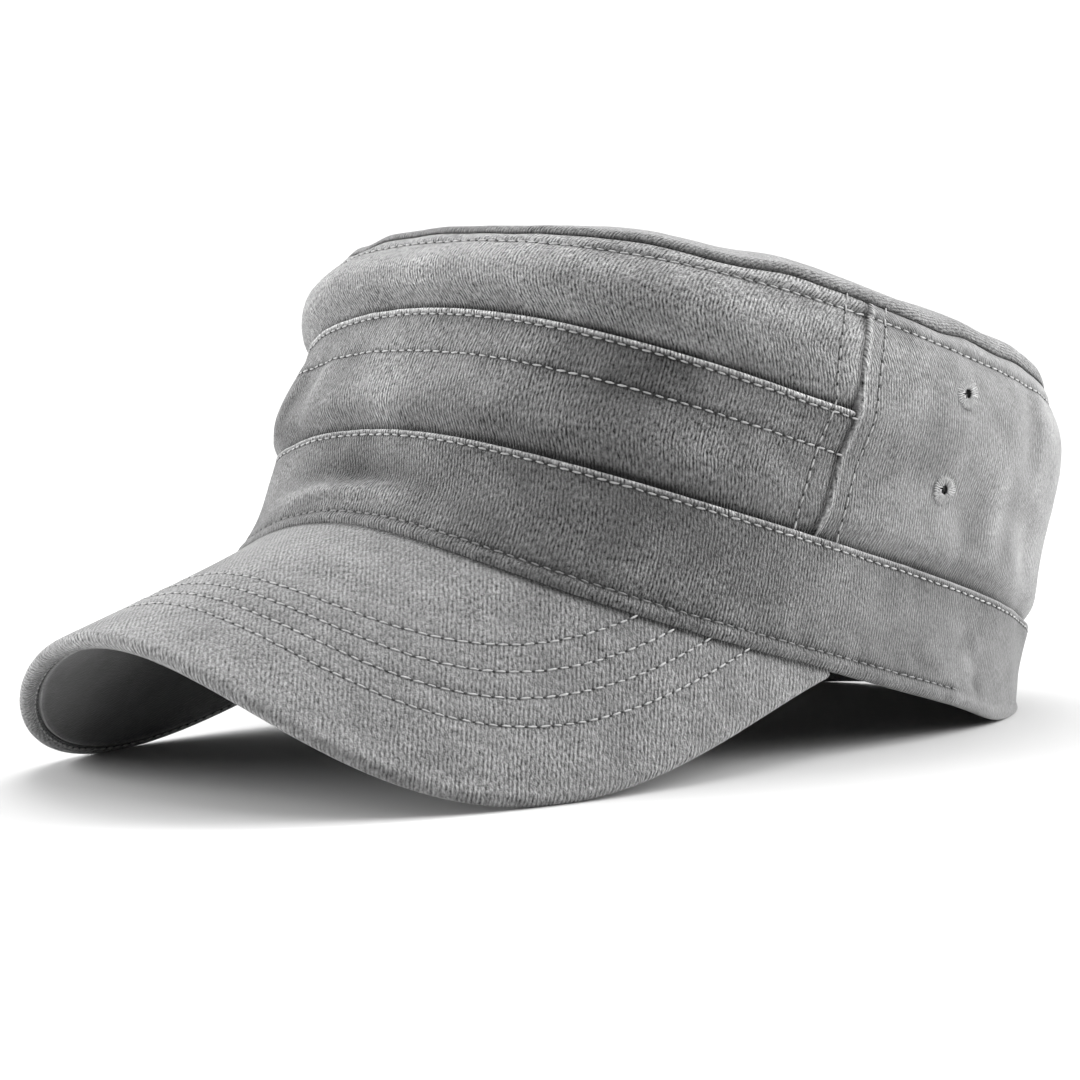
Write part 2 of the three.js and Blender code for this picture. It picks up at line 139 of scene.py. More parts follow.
# Rows of stitches round the crown: height, first and last turn, and how far the cloth puckers beside them.
# Two more rows run up beside each side seam, a few degrees behind it and ahead of it.
FOOT_ROW = 4.0
FOOT_ROW_END = -15.7
EDGE_ROW = 1.6
MIDDLE_ROW = 19.0
TOP_ROW = 4.0
SIDE_ROW_BEHIND = 3.5
SIDE_ROW_AHEAD = 4
ROUND = (BACK_CENTRE, BACK_CENTRE + 360)
FRONT = (SEAM_TURN, 180 - SEAM_TURN)
LEVEL_ROWS = {
    "foot": (FOOT_ROW, FOOT_ROW_END, 180 - FOOT_ROW_END, 0.45),
    "band_edge": (BAND_TOP - EDGE_ROW, *ROUND, 0.25),
    "middle": (BAND_TOP + MIDDLE_ROW, *FRONT, 0.3),
    "upper_edge": (UPPER_SEAM - EDGE_ROW, *FRONT, 0.25),
    "top": (TOP_SEAM - TOP_ROW, *ROUND, 0.35),
}
SIDE_ROW_TURNS = (
    SEAM_TURN - SIDE_ROW_BEHIND,
    SEAM_TURN + SIDE_ROW_AHEAD,
    180 - SEAM_TURN - SIDE_ROW_AHEAD,
    180 - SEAM_TURN + SIDE_ROW_BEHIND,
)

# Air holes: the turn of the left pair, which the right pair mirrors, and the shallow dimple round each hole
EYELET_TURN = -6
EYELET_LEVELS = {"upper": 2.51, "lower": 1.67}
EYELET_DIMPLE = 5.5
EYELET_DIMPLE_DEPTH = 0.3

# Relief of the washed cloth, in millimetres. It lies calmer near the foot and the top. Each kind of crumple
# has the size of its lumps, how far they stand up, and a seed.
CRUMPLES = (((20, 20, 14), 0.45, 3), ((8, 8, 7), 0.25, 4))
CRUMPLE_CALM = 6
CRUMPLE_LEAST = 0.15
CREASE_CALM = 4
PUCKER_LUMP = (4.6, 4.6, 9)
PUCKER_WIDTH = 4
PUCKER_SEED = 10
GROOVE_DEPTH = 0.3
SIDE_GROOVE_DEPTH = 0.22
GROOVE_WIDTH = 0.7
SEAM_BULK = 0.35
SEAM_BULK_WIDTH = 8
SEAM_PUCKER = 0.2
SEAM_PUCKER_LUMP = (9, 9, 4.5)
SEAM_PUCKER_WIDTH = 10
FOOT_PUFF = 0.45
TOP_PUFF = 0.4
TOP_WAVER = 0.8
TOP_WAVER_LUMP = (11, 11, 30)

# Levels over which the soft folds fade out at the foot and at the top
FOOT_FADE = 0.2
TOP_FADE = 0.3

# A slope is measured over this step to each side, in degrees or millimetres
SMALL_STEP = 0.5
LATTICE = 64


def turned_from(turn, middle):
    """How far a turn is from a middle one, by the shorter way round."""
    return (turn - middle + 180) % 360 - 180


def wrapped(turn):
    """The same turn, counted once round from the back centre."""
    return (turn - BACK_CENTRE) % 360 + BACK_CENTRE


def left_twin(turn):
    """The turn on the left half that a turn on the right half mirrors."""
    return np.where(turn > 90, 180 - turn, turn)


def seam_distance(turn):
    """Distance from the nearer side seam, in millimetres."""
    return np.radians(np.minimum(np.abs(turn - SEAM_TURN), np.abs(turn - 180 + SEAM_TURN))) * HALF_WIDTH


def eased(share):
    """A share from 0 to 1 with a soft start and a soft end."""
    return share * share * (3 - 2 * share)


def ridge(distance, width):
    """A soft ridge: 1 along its middle and 0 from its width on."""
    return np.cos(np.minimum(np.abs(distance) / width, 1) * math.pi / 2) ** 2


def swell(distance, width):
    """A softer ridge: 1 along its middle, about a third at its width, and fading out beyond it."""
    return np.exp(-((distance / width) ** 2))


def section(height, column):
    """One column of the section table at each height, as a smooth curve through its rows."""
    table = np.array(SECTIONS, float)
    levels, values = table[:, 0], table[:, SECTION_COLUMNS.index(column)]
    before = np.maximum(np.arange(len(levels)) - 1, 0)
    after = np.minimum(np.arange(len(levels)) + 1, len(levels) - 1)
    slopes = (values[after] - values[before]) / (levels[after] - levels[before])
    level = np.interp(height, STOREYS, LEVELS)
    low = np.clip(np.searchsorted(levels, level, side="right") - 1, 0, len(levels) - 2)
    span = levels[low + 1] - levels[low]
    share = (level - levels[low]) / span
    rest = 1 - share
    ends = values[low] * (1 + 2 * share) * rest**2 + values[low + 1] * (3 - 2 * share) * share**2
    return ends + (slopes[low] * share * rest**2 - slopes[low + 1] * share**2 * rest) * span


def crown_form(turn, height):
    """The crown's plain outer form."""
    turn, height = np.broadcast_arrays(np.asarray(turn, float), np.asarray(height, float))
    across, ahead = np.cos(np.radians(turn)), np.sin(np.radians(turn))
    oval = section(height, "oval")
    radius = (np.abs(across) ** oval + np.abs(ahead) ** oval) ** (-1 / oval)
    reach = np.where(ahead > 0, FRONT_REACH * section(height, "front"), BACK_REACH * section(height, "back"))
    rise = section(height, "front_rise") * np.maximum(ahead, 0) ** section(height, "arch")
    rise = rise + section(height, "back_rise") * np.maximum(-ahead, 0) ** BACK_ARCH
    side = np.degrees(np.arctan2(ahead, np.abs(across)))
    corner = swell(side - CORNER_TURN, CORNER_SPREAD)
    sag = CORNER_SAG * corner * np.maximum(1 - height / BAND_TOP, 0)
    x = HALF_WIDTH * section(height, "width") * across * radius
    return np.stack([x, -reach * ahead * radius, height + FRONT_RISE * rise - sag], axis=-1)


def crown_outward(turn, height):
    """The level way out of the crown's wall."""
    along = crown_form(turn + SMALL_STEP, height) - crown_form(turn - SMALL_STEP, height)
    out = np.stack([-along[..., 1], along[..., 0], 0 * along[..., 0]], axis=-1)
    return out / np.linalg.norm(out, axis=-1, keepdims=True)


def lumps(points, size, seed):
    """Smooth random relief from -1 to 1, in lumps about one size across."""
    lattice = np.random.default_rng(seed).uniform(-1, 1, (LATTICE, LATTICE, LATTICE))
    place = points / np.asarray(size, float)
    cell = np.floor(place).astype(int)
    share = eased(place - cell)
    total = np.zeros(points.shape[:-1])
    for corner in np.ndindex(2, 2, 2):
        weight = np.prod(np.where(corner, share, 1 - share), axis=-1)
        key = (cell + corner) % LATTICE
        total += weight * lattice[key[..., 0], key[..., 1], key[..., 2]]
    return total


def crumpled(points, kinds):
    """Crumples of several kinds. Each has the size of its lumps, how far they stand up, and a seed."""
    return sum(rise * lumps(points, size, seed) for size, rise, seed in kinds)


def along_and_across(sideways, upwards, lean):
    """A place measured along a fold and across it, where the fold leans so many degrees from upright."""
    lean = math.radians(lean)
    along = sideways * math.sin(lean) + upwards * math.cos(lean)
    across = sideways * math.cos(lean) - upwards * math.sin(lean)
    return along, across


def crown_folds(turn, height):
    """How far the soft folds lift or press the cloth. They fade out at the foot and the top."""
    radius = (HALF_WIDTH + (FRONT_REACH + BACK_REACH) / 2) / 2
    total = np.zeros(np.broadcast(turn, height).shape)
    for at_turn, at_level, lean, length, width, depth in FOLDS:
        sideways = np.radians(turned_from(turn, at_turn)) * radius
        upwards = height - np.interp(at_level, LEVELS, STOREYS)
        along, across = along_and_across(sideways, upwards, lean)
        total += depth * FOLD_DEPTH * ridge(along, length * TOP_SEAM / 2) * swell(across, width * TOP_SEAM)
    level = np.interp(height, STOREYS, LEVELS)
    return total * np.minimum(np.minimum(level / FOOT_FADE, (LEVELS[-1] - level) / TOP_FADE), 1)


def creases(turn, height):
    """How far the sharper creases lift or press the cloth."""
    total = np.zeros(np.broadcast(turn, height).shape)
    for at_turn, at_height, lean, length, width, depth in CREASES:
        sideways = np.radians(turned_from(turn, at_turn)) * HALF_WIDTH
        along, across = along_and_across(sideways, height - at_height, lean)
        total += depth * ridge(along, length / 2) * swell(across, width)
    return total


def crown_crumples(turn, height):
    """Small relief: crumples of the washed cloth, puckers and grooves at the stitches, and bulky seams."""
    turn = wrapped(turn)
    form = crown_form(turn, height)
    calm = np.clip(np.minimum(height, TOP_SEAM - height) / CRUMPLE_CALM, CRUMPLE_LEAST, 1)
    relief = calm * crumpled(form, CRUMPLES)
    relief = relief + np.clip(height / CREASE_CALM, 0, 1) * creases(turn, height)
    for number, (at, first, last, pucker) in enumerate(LEVEL_ROWS.values()):
        inside = np.clip(np.minimum(turn - first, last - turn) / 2 + 1, 0, 1)
        away = height - at
        ripple = lumps(form, PUCKER_LUMP, PUCKER_SEED + number) * swell(away, PUCKER_WIDTH)
        relief = relief + inside * (pucker * ripple - GROOVE_DEPTH * swell(away, GROOVE_WIDTH))
    above = np.clip((height - BAND_TOP) / 2, 0, 1)
    away = seam_distance(turn)
    puckers = SEAM_PUCKER * lumps(form, SEAM_PUCKER_LUMP, seed=6) * ridge(away, SEAM_PUCKER_WIDTH)
    relief = relief + above * (SEAM_BULK * ridge(away, SEAM_BULK_WIDTH) + puckers)
    for level in EYELET_LEVELS.values():
        upwards = height - np.interp(level, LEVELS, STOREYS)
        for eyelet_turn in (EYELET_TURN, 180 - EYELET_TURN):
            sideways = np.radians(turned_from(turn, eyelet_turn)) * HALF_WIDTH
            relief = relief - EYELET_DIMPLE_DEPTH * swell(sideways**2 + upwards**2, EYELET_DIMPLE**2)
    for row_turn in SIDE_ROW_TURNS:
        away = np.radians(turn - row_turn) * HALF_WIDTH
        relief = relief - above * SIDE_GROOVE_DEPTH * swell(away, GROOVE_WIDTH)
    relief = relief + FOOT_PUFF * ridge(height - FOOT_ROW / 2, FOOT_ROW / 2)
    return relief + TOP_PUFF * ridge(height - TOP_SEAM + TOP_ROW / 2, TOP_ROW / 2)


def crown_cloth(turn, height, inset):
    """Points on the cloth of the crown, at an inset inside its outer face."""
    form = crown_form(turn, height)
    out = crown_folds(turn, height) + crown_crumples(turn, height) - inset
    points = form + crown_outward(turn, height) * out[..., None]
    near_top = np.clip((height - TOP_SEAM) / TOP_ROW + 1, 0, 1)
    points[..., 2] += TOP_WAVER * lumps(form, TOP_WAVER_LUMP, seed=8) * near_top
    return points


# Shade of the washed cloth, as shares of its grey. It follows the relief and the creases as painted light
# and shade, has painted shade in the stitched grooves, above lapping folds and across the front beside the
# brow, is darker and blotchy beside the rows and seams, and is lighter where a folded edge is worn and takes
# a painted highlight, and on the back as painted light.
RELIEF_PAINTED_SHADING = 0.2
CREASE_PAINTED_SHADING = 0.33
CLOUD_SHADE = 0.12
GROOVE_PAINTED_SHADE = 0.4
GROOVE_PAINTED_SHADE_WIDTH = 0.6
PUCKER_SHADE = 1.1
PUCKER_SHADE_WIDTH = 3
MIDDLE_PAINTED_SHADE_HEIGHTS = (BAND_TOP, BAND_TOP + 1, UPPER_SEAM - 1, UPPER_SEAM)
MIDDLE_PAINTED_SHADES = (0.02, 0.37, 0.37, 0.04)
MIDDLE_PAINTED_SHADE_TURN = 52
MIDDLE_PAINTED_SHADE_SPREAD = 21
SEAM_SHADE_HEIGHTS = (UPPER_SEAM - 2, UPPER_SEAM + 2)
SEAM_SHADES = (0.24, 0.08)
SEAM_SHADE_WIDTH = 10
PAINTED_LIGHT_TURN = -27.5
PAINTED_LIGHT_LIFT = 0.18
EDGE_WEAR_AND_HIGHLIGHT = 2.3
EDGE_WEAR_AND_HIGHLIGHT_WIDTH = 0.85
RECESS_PAINTED_SHADE = 0.85
RECESS_PAINTED_SHADE_WIDTH = 1.5
LEAST_TONE = 0.12

# The ribs are worn smooth on the sides and the back, where the cloth keeps this share of them
RIB_LEFT = 0.42
RIB_FADE = (60, 100)


def crown_grain(turn):
    """How strongly the ribs show, from the front round to the back."""
    away = np.abs(turned_from(turn, 90))
    share = np.clip((RIB_FADE[1] - away) / (RIB_FADE[1] - RIB_FADE[0]), 0, 1)
    return RIB_LEFT + (1 - RIB_LEFT) * eased(share)


def crown_tone(turn, height, edges=(), recesses=()):
    """Painted light on raised cloth, painted shade in grooves, and wear with a painted highlight at folded
    edges.
    """
    turn = wrapped(turn)
    form = crown_form(turn, height)
    # Painted light and shade: lighter where the relief and the creases stand proud, darker where they sink
    tone = 1 + RELIEF_PAINTED_SHADING * crown_crumples(turn, height) + CLOUD_SHADE * lumps(form, (14, 14, 14), seed=61)
    tone = tone + CREASE_PAINTED_SHADING * creases(turn, height)
    # Painted shade across the front of the middle panel, on each side of the brow
    middle_painted_shade = np.interp(height, MIDDLE_PAINTED_SHADE_HEIGHTS, MIDDLE_PAINTED_SHADES)
    tone = tone - middle_painted_shade * swell(left_twin(turn) - MIDDLE_PAINTED_SHADE_TURN, MIDDLE_PAINTED_SHADE_SPREAD)
    blotch = 0.5 + 0.5 * lumps(form, (6, 6, 10), seed=62)
    for at, first, last, pucker in LEVEL_ROWS.values():
        inside = np.clip(np.minimum(turn - first, last - turn) + 1, 0, 1)
        # Painted shade in the groove of each row
        tone = tone - inside * GROOVE_PAINTED_SHADE * swell(height - at, GROOVE_PAINTED_SHADE_WIDTH)
        tone = tone - inside * pucker * PUCKER_SHADE * blotch * swell(height - at, PUCKER_SHADE_WIDTH)
    beside = ridge(seam_distance(turn), SEAM_SHADE_WIDTH) * np.clip((height - BAND_TOP) / 2, 0, 1)
    seam_darkening = np.interp(height, SEAM_SHADE_HEIGHTS, SEAM_SHADES)
    tone = tone - beside * seam_darkening * (1 + lumps(form, (7, 7, 5), seed=63))
    # Painted light on the back beyond the crease, stronger higher up the crown
    behind = np.clip((PAINTED_LIGHT_TURN - left_twin(turn)) / 1.2, 0, 1)
    tone = tone + PAINTED_LIGHT_LIFT * behind * np.clip(height / BAND_TOP - 0.9, 0, 1)
    # Folded edges are lighter from wear and from a painted highlight
    for edge in edges:
        worn_and_lit = swell(np.maximum(edge - height, 0), EDGE_WEAR_AND_HIGHLIGHT_WIDTH)
        tone = tone + EDGE_WEAR_AND_HIGHLIGHT * crown_grain(turn) * worn_and_lit
    # Painted shade on the cloth just above each lapping fold
    for recess in recesses:
        tone = tone - RECESS_PAINTED_SHADE * swell(np.maximum(height - recess, 0), RECESS_PAINTED_SHADE_WIDTH)
    return np.maximum(tone, LEAST_TONE)


# The cap leans back on its rest. How far is read from the frame, from two air holes whose places on the
# level cap are known.
def eyelet_place(turn, level):
    """Middle of an air hole in the level cap's wall, and the way out of the wall there."""

    def wall(at_turn, at_level):
        at_turn, height = np.float64(at_turn), np.interp(at_level, LEVELS, STOREYS)
        return crown_form(at_turn, height) + crown_outward(at_turn, height) * crown_folds(at_turn, height)

    up = wall(turn, level + 0.02) - wall(turn, level - 0.02)
    along = wall(turn + 1, level) - wall(turn - 1, level)
    out = np.cross(up, along)
    out = out / np.linalg.norm(out)
    return wall(turn, level) - out * PANEL_WALL / 2, out


def middle_of(node):
    low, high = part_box(node)
    return np.array((low + high) / 2) / MM


level_upper, level_lower = (eyelet_place(EYELET_TURN, EYELET_LEVELS[row])[0] for row in ("upper", "lower"))
rest_upper, rest_lower = (middle_of(f"eyelet_left_{row}") for row in ("upper", "lower"))
level_step = level_upper - level_lower
rest_step = rest_upper - rest_lower
LEAN = math.atan2(level_step[2], level_step[1]) - math.atan2(rest_step[2], rest_step[1])


def leant(vectors):
    """Level vectors, turned to the cap's lean."""
    x, y, z = vectors[..., 0], vectors[..., 1], vectors[..., 2]
    back = y * math.cos(LEAN) + z * math.sin(LEAN)
    up = z * math.cos(LEAN) - y * math.sin(LEAN)
    return np.stack([x, back, up], axis=-1)


REST_SHIFT = rest_upper - leant(level_upper)


def at_rest(points):
    """Level millimetres to metres in the frame. Cloth that would go through the rest is pressed flat."""
    placed = leant(points) + REST_SHIFT
    placed[..., 2] = np.maximum(placed[..., 2], 0)
    return placed * MM


# The crown's girths at a few heights, measured once, so that the cloth's pattern keeps its true size
GIRTH_TURNS = np.arange(-180 - SEAM_TURN, BACK_CENTRE + 361, 1.0)
GIRTH_HEIGHTS = np.linspace(0, TOP_SEAM, 12)
GIRTH_STEPS = np.linalg.norm(np.diff(crown_form(GIRTH_TURNS, GIRTH_HEIGHTS[:, None]), axis=1), axis=-1)
GIRTHS = np.pad(np.cumsum(GIRTH_STEPS, axis=1), ((0, 0), (1, 0)))


def crown_pattern(turn, height, middle):
    """Where the cloth's pattern lies: its way round from its panel's middle, and its height up the crown."""
    turn, height = np.broadcast_arrays(np.asarray(turn, float), np.asarray(height, float))
    ways = np.stack(
        [np.interp(turn, GIRTH_TURNS, girth) - np.interp(middle, GIRTH_TURNS, girth) for girth in GIRTHS]
    )
    place = np.clip(height / TOP_SEAM, 0, 0.9999) * (len(GIRTHS) - 1)
    low = place.astype(int)
    below, above = (np.take_along_axis(ways, at[None], axis=0)[0] for at in (low, low + 1))
    return np.stack([below + (above - below) * (place - low), height], axis=-1)


def quads_of(grid):
    """The four corners of each square of a grid."""
    return np.stack([grid[:-1, :-1], grid[:-1, 1:], grid[1:, 1:], grid[1:, :-1]], axis=2)


def add_cloth(name, points, pattern, tone, material, ring, grain=1.0):
    """A closed skin of cloth. Columns of points run along it, and each goes once round its thickness."""
    columns, around = points.shape[:2]
    made = columns - 1 if ring else columns
    index = (np.arange(columns) % made)[:, None] * around + np.arange(around)
    index = np.concatenate([index, index[:, :1]], axis=1)
    faces = quads_of(index).reshape(-1, 4).tolist()
    full = np.concatenate([pattern, pattern[:, :1]], axis=1)
    corners = quads_of(full).reshape(-1, 2)
    if not ring:
        faces += [index[0, :-1][::-1].tolist(), index[-1, :-1].tolist()]
        corners = np.concatenate([corners, pattern[0][::-1], pattern[-1]])
    mesh = bpy.data.meshes.new(name)
    mesh.from_pydata(at_rest(points)[:made].reshape(-1, 3).tolist(), [], faces)
    mesh.uv_layers.new(name="cloth").data.foreach_set("uv", (corners * MM).astype(np.float32).ravel())
    for kind, values in (("tone", tone), ("grain", grain)):
        values = np.broadcast_to(values, (columns, around))[:made].astype(np.float32)
        mesh.attributes.new(kind, "FLOAT", "POINT").data.foreach_set("value", values.ravel())
    mesh.materials.append(material)
    mesh.polygons.foreach_set("use_smooth", [True] * len(mesh.polygons))
    merged = bmesh.new()
    merged.from_mesh(mesh)
    bmesh.ops.remove_doubles(merged, verts=merged.verts, dist=1e-7)
    wires = [edge for edge in merged.edges if not edge.link_faces]
    bmesh.ops.delete(merged, geom=wires, context="EDGES")
    merged.to_mesh(mesh)
    merged.free()
    piece = bpy.data.objects.new(name, mesh)
    bpy.context.scene.collection.objects.link(piece)
    return piece


def add_node(tree, kind, inputs=None, **settings):
    """A node with its settings, and its inputs given as values or as the sockets that feed them."""
    node = tree.nodes.new(kind)
    for name, value in settings.items():
        setattr(node, name, value)
    for name, value in (inputs or {}).items():
        if isinstance(value, bpy.types.NodeSocket):
            tree.links.new(value, node.inputs[name])
        else:
            node.inputs[name].default_value = value
    return node


# The pattern of the weave. Scales are repeats in a metre across and along the cloth, or shares of a rib's
# pitch. Contrasts are how much a pattern adds or takes away, as a share.
RIB_PITCH = 0.00085
STRAY_SCALE = (300, 120)
YARN_SCALE = (1.5, 0.7)
FLECK_SCALE = (2300, 2300)
CLOUD_SCALE = (120, 140)
PATCH_SCALE = (28, 34)
WEAR_SCALE = (60, 60)
STRAY = 4.0
YARN_CONTRAST = 2.6
RIB_CONTRAST = 0.55
FLECK_CONTRAST = 0.9
FLECK_RELIEF = 0.7
CLOUD_CONTRAST = 0.75
PATCH_CONTRAST = 0.35
WEAR_CONTRAST = 1.2
LEAST_SHADE = 0.05


def twill(name, colour, rib_lean, rib_shade, rib_depth, rib_pitch=RIB_PITCH):
    """Washed cotton twill: fine slanting ribs, uneven yarn, and the soft cloudy shade of garment washing."""
    material = bpy.data.materials.new(name)
    material.use_nodes = True
    tree = material.node_tree
    tree.nodes.clear()
    place = add_node(tree, "ShaderNodeUVMap", uv_map="cloth").outputs["UV"]
    lean = (0, 0, math.radians(rib_lean))
    turned = add_node(tree, "ShaderNodeMapping", {"Vector": place, "Rotation": lean}).outputs[0]

    def noise(vector, scale, detail=2.0, roughness=0.6):
        scaled = add_node(tree, "ShaderNodeMapping", {"Vector": vector, "Scale": (*scale, 1)}).outputs[0]
        inputs = {"Vector": scaled, "Scale": 1.0, "Detail": detail, "Roughness": roughness}
        return add_node(tree, "ShaderNodeTexNoise", inputs, noise_dimensions="2D").outputs["Fac"]

    def math_node(operation, *values):
        return add_node(tree, "ShaderNodeMath", dict(enumerate(values)), operation=operation).outputs[0]

    def weighed(value, amount, base):
        """base, plus or minus amount as the value goes from 0 to 1."""
        return math_node("ADD", math_node("MULTIPLY", math_node("SUBTRACT", value, 0.5), amount), base)

    across = add_node(tree, "ShaderNodeSeparateXYZ", {"Vector": turned}).outputs["X"]
    strays = math_node("MULTIPLY", noise(turned, STRAY_SCALE, 1.0), STRAY)
    phase = math_node("ADD", math_node("MULTIPLY", across, 2 * math.pi / rib_pitch), strays)
    ribs = math_node("MULTIPLY_ADD", math_node("SINE", phase), 0.5, 0.5)
    yarns = noise(turned, [share / rib_pitch for share in YARN_SCALE], 2.0)
    flecks = noise(place, FLECK_SCALE, 1.0)
    weave = weighed(yarns, YARN_CONTRAST, weighed(ribs, RIB_CONTRAST, 0.5))
    clouds = noise(place, CLOUD_SCALE, 4.0, 0.62)
    patches = noise(place, PATCH_SCALE, 2.0, 0.5)
    wear = weighed(noise(place, WEAR_SCALE, 2.0), WEAR_CONTRAST, 1.0)
    grain = add_node(tree, "ShaderNodeAttribute", attribute_name="grain").outputs["Fac"]
    strength = math_node("MULTIPLY", math_node("MULTIPLY", wear, rib_shade), grain)
    shade = math_node("MULTIPLY_ADD", math_node("SUBTRACT", weave, 0.5), strength, 1.0)
    fleck_strength = math_node("MULTIPLY", grain, FLECK_CONTRAST)
    shade = math_node("MULTIPLY_ADD", math_node("SUBTRACT", flecks, 0.5), fleck_strength, shade)
    cloudy = weighed(clouds, CLOUD_CONTRAST, weighed(patches, PATCH_CONTRAST, 1.0))
    # The tone attribute brings in each piece's painted light and shade, with its wear and mottling
    tone = add_node(tree, "ShaderNodeAttribute", attribute_name="tone").outputs["Fac"]
    shade = math_node("MULTIPLY", math_node("MULTIPLY", shade, cloudy), tone)
    shade = math_node("MAXIMUM", shade, LEAST_SHADE)
    base = add_node(tree, "ShaderNodeVectorMath", {0: colour, "Scale": shade}, operation="SCALE").outputs[0]
    height = weighed(flecks, FLECK_RELIEF, weave)
    bump = {"Height": height, "Strength": grain, "Distance": rib_depth}
    inputs = {
        "Base Color": base,
        "Normal": add_node(tree, "ShaderNodeBump", bump).outputs["Normal"],
        "Roughness": 0.9,
        "Specular IOR Level": 0.2,
        "Sheen Weight": 0.4,
        "Sheen Roughness": 0.4,
    }
    surface = add_node(tree, "ShaderNodeBsdfPrincipled", inputs)
    add_node(tree, "ShaderNodeOutputMaterial", {"Surface": surface.outputs[0]})
    return material


CROWN_GREY = (0.19, 0.19, 0.19)
crown_twill = twill("washed_grey_twill", CROWN_GREY, rib_lean=10, rib_shade=1.15, rib_depth=0.00028)


def rows_between(low, high, features, fine=0.3, coarse=1.1, close=1.6, spread=4):
    """Heights from low to high, fine close to the features and coarse away from them."""
    heights = [low]
    while heights[-1] < high:
        away = min(abs(heights[-1] - feature) for feature in features)
        heights.append(heights[-1] + fine + (coarse - fine) * min(max(away - close, 0) / spread, 1))
    heights = np.array(heights)
    return low + (heights - low) * (high - low) / (heights[-1] - low)


# How an edge that is sewn into a seam turns in: how far each point lies below the edge, and its inset
ALLOWANCE = ((0, 1.3), (0, 2.2), (0.8, 2.4), (3, PANEL_WALL + 0.3))
ALLOWANCE_ROOM = 3.5
BEND_STEP = 15


def bent_edge(edge, way, radius, base, angles):
    """Heights and insets round an edge, from the outer face in. Way is 1 at a top edge and -1 at a foot."""
    start = edge - way * radius
    bend = [math.radians(angle) for angle in angles]
    return [(start + way * radius * math.sin(a), base + radius - radius * math.cos(a)) for a in bend]


def folded_wall(heights, inset_at, wall, low_end, high_end):
    """Once round a wall of cloth, from its foot up the outside and down the inside, as heights and insets.
    An end is cut square, is folded round, or turns in as a seam allowance."""
    low, high = heights[0], heights[-1]
    outside = [(height, inset_at(height)) for height in heights]
    inside = [(height, inset_at(height) + wall) for height in heights[::-4]]
    around = range(0, 181, BEND_STEP)
    if high_end == "fold":
        outside = [point for point in outside if point[0] < high - wall / 2]
        inside = [point for point in inside if point[0] < high - wall / 2]
        outside += bent_edge(high, 1, wall / 2, inset_at(high), around)
    if high_end == "seam":
        outside = [point for point in outside if point[0] < high - EDGE_ROUND]
        outside += bent_edge(high, 1, EDGE_ROUND, 0, range(0, 91, BEND_STEP))
        outside += [(high - below, inset) for below, inset in ALLOWANCE]
        inside = [point for point in inside if point[0] < high - ALLOWANCE_ROOM]
    if low_end == "fold":
        outside = [point for point in outside if point[0] > low + wall / 2]
        inside = [point for point in inside if point[0] > low + wall / 2]
        outside = bent_edge(low, -1, wall / 2, inset_at(low), around)[::-1] + outside
    profile = np.array(outside + inside, float)
    return profile[:, 0], profile[:, 1]


def tuck(height, seam, lapping_wall):
    """Cloth that is lapped lies inside the lapping wall up to the seam and swells out above it."""
    return (lapping_wall + SEAM_GAP) * (1 - eased(np.clip((height - seam) / LAP, 0, 1)))


# At a side seam the edge rolls in: how far from the edge its columns of points lie, and how deep it turns in
ROLL_COLUMNS = (0, 0.02, 0.1, 0.25, 0.5, 0.8)
ROLL_ROOM = 1.4
TURNED_IN = 2.0
NEAR_SEAM = 6


def turns_between(first, last, seams):
    """Turns in even steps, with insets. At a side seam they crowd together, so that the edge can roll in."""
    turns = np.linspace(first, last, round((last - first) / TURN_STEP) + 1)
    if not seams:
        return turns, np.zeros(len(turns))
    roll = np.array(ROLL_COLUMNS) / math.radians(1) / HALF_WIDTH
    near = np.arange(TURN_STEP / 2, NEAR_SEAM, TURN_STEP)
    turns = np.sort(np.concatenate([turns, first + near, last - near]))
    inner = turns[(turns > first + roll[-1] * ROLL_ROOM) & (turns < last - roll[-1] * ROLL_ROOM)]
    turns = np.concatenate([[first], first + roll, inner, last - roll[::-1], [last]])
    away = np.radians(np.minimum(turns - first, last - turns)) * HALF_WIDTH
    inset = EDGE_ROUND - np.sqrt(np.maximum(EDGE_ROUND**2 - np.maximum(EDGE_ROUND - away, 0) ** 2, 0))
    inset[[0, -1]] = TURNED_IN
    return turns, inset


# Where a panel's edge at a side seam stands up or presses down, how wide, and how far it rises; the same
# swell adds its painted highlight or painted shade
SEAM_EDGE_PLACE = 0.7
SEAM_EDGE_WIDTH = 0.7
SEAM_EDGE_RISE = 0.4
LEAST_PANEL_TONE = 0.15


def add_crown_panel(name, turns, profile, shade, edges=(), recesses=(), seam_edge=0.0):
    """A panel of the crown from its columns of turns and its profile of heights and insets. Its shade scales
    its grey beside the other panels, partly as the cloth's own tone and partly as painted light and shade.
    Its edges at the side seams stand up with a painted highlight where seam_edge is positive, and are
    pressed down with painted shade where it is negative."""
    columns, roll = turns
    heights, insets = profile
    turn, height = columns[:, None], heights[None, :]
    from_seam = np.radians(np.minimum(turn - columns[0], columns[-1] - turn)) * HALF_WIDTH
    edge = seam_edge * swell(from_seam - SEAM_EDGE_PLACE, SEAM_EDGE_WIDTH)
    points = crown_cloth(turn, height, insets + roll[:, None] - SEAM_EDGE_RISE * edge)
    # The tone holds the panel's shade and the seam edge's painted highlight or painted shade
    tone = np.maximum(shade * crown_tone(turn, height, edges, recesses) + edge, LEAST_PANEL_TONE)
    pattern = crown_pattern(turn, height, (columns[0] + columns[-1]) / 2)
    ring = columns[-1] - columns[0] > 359
    return add_cloth(name, points, pattern, tone, crown_twill, ring, crown_grain(turn))


